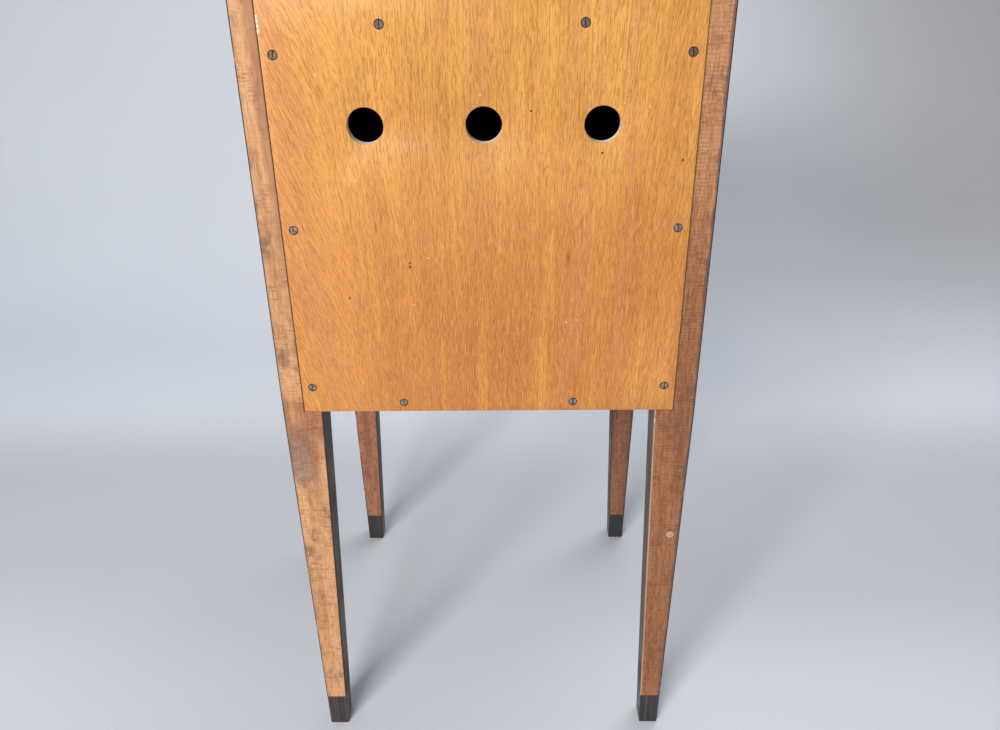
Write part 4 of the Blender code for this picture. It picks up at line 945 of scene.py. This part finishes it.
def turned_knob(name, body):
    """A knob turned in one piece with its spigot, in place of the CAD knob: collar, waist, domed head."""
    low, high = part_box(name)
    face = low.y + KNOB_REACH
    outline = [
        (0.0, face - high.y), (SPIGOT_RADIUS, face - high.y), (SPIGOT_RADIUS, JOINT_GAP),
        (COLLAR_RADIUS - JOINT_GAP, JOINT_GAP), (COLLAR_RADIUS, 2 * JOINT_GAP),
        (COLLAR_RADIUS, COLLAR_HEIGHT - 2 * COLLAR_ROUND), (COLLAR_RADIUS - COLLAR_ROUND, COLLAR_HEIGHT),
        (NECK_RADIUS + COLLAR_ROUND, COLLAR_HEIGHT + 3 * COLLAR_ROUND),
        (NECK_RADIUS, NECK_HEIGHT - NECK_STRAIGHT), (NECK_RADIUS, NECK_HEIGHT + NECK_STRAIGHT),
    ]
    for angle in range(HEAD_FROM, HEAD_TO + 1, HEAD_STEP):
        cut = GROOVE_DEPTH if angle == GROOVE_AT else 0.0
        radius = max(KNOB_RADIUS * math.cos(math.radians(angle)) - cut, 0.0)
        rise = KNOB_HEAD / 2 * math.sin(math.radians(angle))
        outline.append((radius, KNOB_REACH - KNOB_HEAD / 2 + rise))
    bm = bmesh.new()
    spun(bm, outline, KNOB_STEPS)
    bm.normal_update()
    bmesh.ops.recalc_face_normals(bm, faces=bm.faces)
    place = Matrix.Translation(((low.x + high.x) / 2, face, (low.z + high.z) / 2)) @ TO_FRONT
    bmesh.ops.transform(bm, matrix=place, verts=bm.verts)
    piece = keep(f"{name}_turned", bm, (BLACK_WOOD,), body, name, smooth=35)


eased_copy("drawer_front", "drawer", CROSS_POLISH, BARE_CROSS)
dress(BARE_DEEP, "drawer_side_left", "drawer_side_right")
dress(BARE_CROSS, "drawer_back", "drawer_bottom")
turned_knob("drawer_knob", "drawer")

# Door. A frame of polished stiles and rails, mortised and tenoned, round a thinner panel of the same hardwood
# that floats in grooves. Narrow beads glued into the case behind its top and latch edges keep dust out, with
# a gap for the tongue.
BEAD_WIDTH = 0.006
BEAD_DEPTH = 0.008
BEAD_ROUND = 0.0015
BEAD_CLEAR = 0.0005
TONGUE_BELOW = 0.036
TONGUE_ABOVE = 0.011

for name in ("door_stile_hinge", "door_stile_latch"):
    eased_copy(name, "door", UPRIGHT_POLISH, UPRIGHT_POLISH)
for name in ("door_rail_bottom", "door_rail_top"):
    eased_copy(name, "door", CROSS_POLISH, CROSS_POLISH)
dress(UPRIGHT_POLISH, "door_panel")
stile_low, stile_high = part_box("door_stile_latch")
knob_low, knob_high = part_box("latch_knob")
latch_height = (knob_low.z + knob_high.z) / 2
leg_face = CASE_HALF - LEG_WIDTH
bead_inner = leg_face - BEAD_WIDTH
bead_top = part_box("drawer_divider")[0].z
for name, finish, x, z, shown_axis in (
    ("lower", UPRIGHT_POLISH, (bead_inner, leg_face), (stile_low.z, latch_height - TONGUE_BELOW), 0),
    ("upper", UPRIGHT_POLISH, (bead_inner, leg_face), (latch_height + TONGUE_ABOVE, bead_top), 0),
    ("top", CROSS_POLISH, (-leg_face, bead_inner), (bead_top - BEAD_WIDTH, bead_top), 2),
):
    bm = bmesh.new()
    bmesh.ops.create_cube(bm, size=1.0)
    bmesh.ops.scale(bm, vec=(x[1] - x[0], BEAD_DEPTH, z[1] - z[0]), verts=bm.verts)
    centre = Vector((sum(x) / 2, stile_high.y + BEAD_CLEAR + BEAD_DEPTH / 2, sum(z) / 2))
    bmesh.ops.translate(bm, vec=centre, verts=bm.verts)
    shown = [edge for edge in bm.edges if all(v.co[shown_axis] < centre[shown_axis] for v in edge.verts)]
    bmesh.ops.bevel(bm, geom=shown, offset=BEAD_ROUND, segments=4, profile=0.5, affect="EDGES", material=-1)
    bead = keep(f"door_bead_{name}", bm, (finish,), "case", smooth=40)

# Hinges. Two brass butts let into the stile and the leg, dulled to brown in the knuckles. Two small slotted
# screws hold each leaf, their heads a hair proud of it.
HINGE_SCREW_HEAD = 0.0019
HINGE_SCREW_SHANK = 0.0010
HINGE_SCREW_LENGTH = 0.009
HINGE_SCREW_PROUD = 0.00025
HINGE_SCREW_FROM_PIN = 0.0105
HINGE_SCREW_HALF = 0.0125
HINGE_SLOT_HALF = 0.00022
BRASS_YELLOW = (0.66, 0.46, 0.18)
BRASS_BROWN = (0.30, 0.18, 0.07)


def dull_brass():
    """Old brass: yellow where it is handled, brown elsewhere."""
    material, tree, shader, place = start_finish("dull_brass")
    tarnish = cloud(tree, place, 140.0, 4.0, 0.6)
    brush = cloud(tree, stretch(tree, place, 1500.0, along_z=60.0), 1.0, 2.0)
    colour = tint(tree, spread(tree, tarnish, 0.40, 0.65), BRASS_YELLOW, BRASS_BROWN)
    tree.links.new(colour, shader.inputs["Base Color"])
    shader.inputs["Metallic"].default_value = 1.0
    tree.links.new(spread(tree, brush, 0.3, 0.7, 0.26, 0.44), shader.inputs["Roughness"])
    raise_grain(tree, shader, brush, 0.1, 0.0002)
    return material


BRASS = dull_brass()

for row in ("lower", "upper"):
    pin_low, pin_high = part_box(f"hinge_{row}_pin")
    centre = (pin_low + pin_high) / 2
    leaves = {
        "case_leaf": ("case", HINGE_SCREW_PROUD - leg_face, math.pi / 2),
        "door_leaf": ("door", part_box("door_stile_hinge")[0].x - HINGE_SCREW_PROUD, -math.pi / 2),
    }
    for leaf, (body, x, turn) in leaves.items():
        for side, rise in (("below", -HINGE_SCREW_HALF), ("above", HINGE_SCREW_HALF)):
            bm = slotted_screw(
                HINGE_SCREW_HEAD, HINGE_SCREW_SHANK, HINGE_SCREW_LENGTH, HINGE_SLOT_HALF, HINGE_SCREW_PROUD
            )
            seat = Matrix.Translation((x, centre.y + HINGE_SCREW_FROM_PIN, centre.z + rise))
            bmesh.ops.transform(bm, matrix=seat @ Matrix.Rotation(turn, 4, "Y"), verts=bm.verts)
            screw = keep(f"hinge_{row}_{leaf}_screw_{side}", bm, (BRASS,), body)
    dress(BRASS, f"hinge_{row}_case_leaf", f"hinge_{row}_door_leaf", f"hinge_{row}_pin")

# Turn latch. A turned black knob on a spindle through the stile, with a wooden tongue behind that turns into
# a slot in the leg.
turned_knob("latch_knob", "latch")
dress(BARE_CROSS, "latch_tongue")

# Studio. A pale blue-grey paper sweep, one soft lamp behind the camera's left shoulder, a weaker one nearer
# its axis and a broad one over the front. The camera stands behind the cabinet and looks down on its back,
# as the photograph does.
PAPER_HALF_WIDTH = 14.0
PAPER_NEAR = 4.4
PAPER_FAR = -1.7
PAPER_RISE = 4.0
PAPER_CURVE = 0.9
PAPER_CURVE_STEPS = 24
PAPER_BLUE = (0.56, 0.59, 0.64)
PAPER_PALE = (0.61, 0.64, 0.69)
PAPER_CABINET_SHADE = (0.24, 0.25, 0.27)
PAPER_WALL_SHADOW_GREY = (0.30, 0.30, 0.31)
PAPER_SHADE_UNDER_LAMPS = (0.20, 0.21, 0.23)
AIR_COLOUR = (0.80, 0.88, 1.0, 1.0)
AIR_STRENGTH = 0.37
CAMERA_PLACE = (-0.0163, 0.89675, 0.8273)
CAMERA_TURN = (62.4444, 0.4754, -179.8176)
CAMERA_LENS = 32.05
CAMERA_SENSOR = 36.0

bm = bmesh.new()
bmesh.ops.create_grid(bm, x_segments=1, y_segments=1, size=1.0)
for corner in bm.verts:
    corner.co = (corner.co.x * PAPER_HALF_WIDTH, PAPER_NEAR if corner.co.y > 0 else PAPER_FAR, 0.0)
wall_edges = [e for e in bm.edges if abs(e.verts[0].co.y - e.verts[1].co.y) < TOUCHING]
grown = bmesh.ops.extrude_edge_only(bm, edges=wall_edges)["geom"]
lifted = [part for part in grown if isinstance(part, bmesh.types.BMVert)]
bmesh.ops.translate(bm, verts=lifted, vec=(0, 0, PAPER_RISE))
bmesh.ops.bevel(
    bm, geom=wall_edges, offset=PAPER_CURVE, segments=PAPER_CURVE_STEPS, profile=0.5, affect="EDGES",
    material=-1,
)
bmesh.ops.recalc_face_normals(bm, faces=bm.faces)
paper_mesh = bpy.data.meshes.new("paper_sweep")
bm.to_mesh(paper_mesh)
bm.free()
paper_mesh.shade_smooth()
paper = bpy.data.objects.new("paper_sweep", paper_mesh)
bpy.context.scene.collection.objects.link(paper)

material, tree, shader, place = start_finish("studio_paper")
mottle = cloud(tree, place, 2.2, 3.0)
x, y = add(tree, "SeparateXYZ", {"Vector": place}).outputs[:2]
colour = tint(tree, mottle, PAPER_BLUE, PAPER_PALE)
# painted shade: the paper is drawn darker under and just behind the cabinet, where its shade falls
painted_shade_near_cabinet = calc(tree, "MULTIPLY", spread(tree, y, 0.20, -0.10, 0.25, 1.0), spread(tree, y, -0.55, -0.28))
colour = tint(tree, calc(tree, "MULTIPLY", painted_shade_near_cabinet, 0.40), colour, PAPER_CABINET_SHADE)
# painted shadow: the far wall is drawn greyer towards -X, where the cabinet's shadow falls
painted_wall_shadow = calc(tree, "MULTIPLY", spread(tree, x, -0.2, -1.2), spread(tree, y, -0.5, -1.3, 0.0, 0.80))
colour = tint(tree, painted_wall_shadow, colour, PAPER_WALL_SHADOW_GREY)
# painted shade: the paper is drawn darker towards the lamps, to tone down their pool of light
colour = tint(tree, spread(tree, y, 0.7, 2.2, 0.0, 0.75), colour, PAPER_SHADE_UNDER_LAMPS)
tree.links.new(colour, shader.inputs["Base Color"])
shader.inputs["Roughness"].default_value = 0.75
paper_mesh.materials.append(material)


def soft_lamp(name, place, aim, size, power, colour):
    """A round soft lamp that is turned towards a point."""
    lamp = bpy.data.lights.new(name, "AREA")
    lamp.shape = "DISK"
    lamp.size = size
    lamp.energy = power
    lamp.color = colour
    holder = bpy.data.objects.new(name, lamp)
    holder.location = place
    holder.rotation_euler = (Vector(aim) - Vector(place)).to_track_quat("-Z", "Y").to_euler()
    bpy.context.scene.collection.objects.link(holder)


soft_lamp(
    "key_lamp", place=(1.55, 2.80, 1.95), aim=(0.0, 0.1, 0.5), size=0.8, power=82.0, colour=(1.0, 0.97, 0.93)
)
soft_lamp(
    "axis_lamp", place=(0.75, 2.60, 1.70), aim=(0.0, 0.0, 0.5), size=0.7, power=50.0, colour=(1.0, 0.98, 0.96)
)
soft_lamp(
    "front_lamp", place=(-0.80, -1.35, 2.10), aim=(0.0, -0.1, 0.5), size=1.8, power=34.0,
    colour=(1.0, 0.98, 0.96),
)

sky = bpy.data.worlds.new("studio_air")
sky.use_nodes = True
sky.node_tree.nodes["Background"].inputs["Color"].default_value = AIR_COLOUR
sky.node_tree.nodes["Background"].inputs["Strength"].default_value = AIR_STRENGTH
bpy.context.scene.world = sky
bpy.context.scene.view_settings.view_transform = "Standard"

lens = bpy.data.cameras.new("camera")
lens.sensor_width = CAMERA_SENSOR
lens.lens = CAMERA_LENS
camera = bpy.data.objects.new("camera", lens)
turn = Euler([math.radians(angle) for angle in CAMERA_TURN])
camera.matrix_world = Matrix.LocRotScale(CAMERA_PLACE, turn, None)
bpy.context.scene.collection.objects.link(camera)
bpy.context.scene.camera = camera
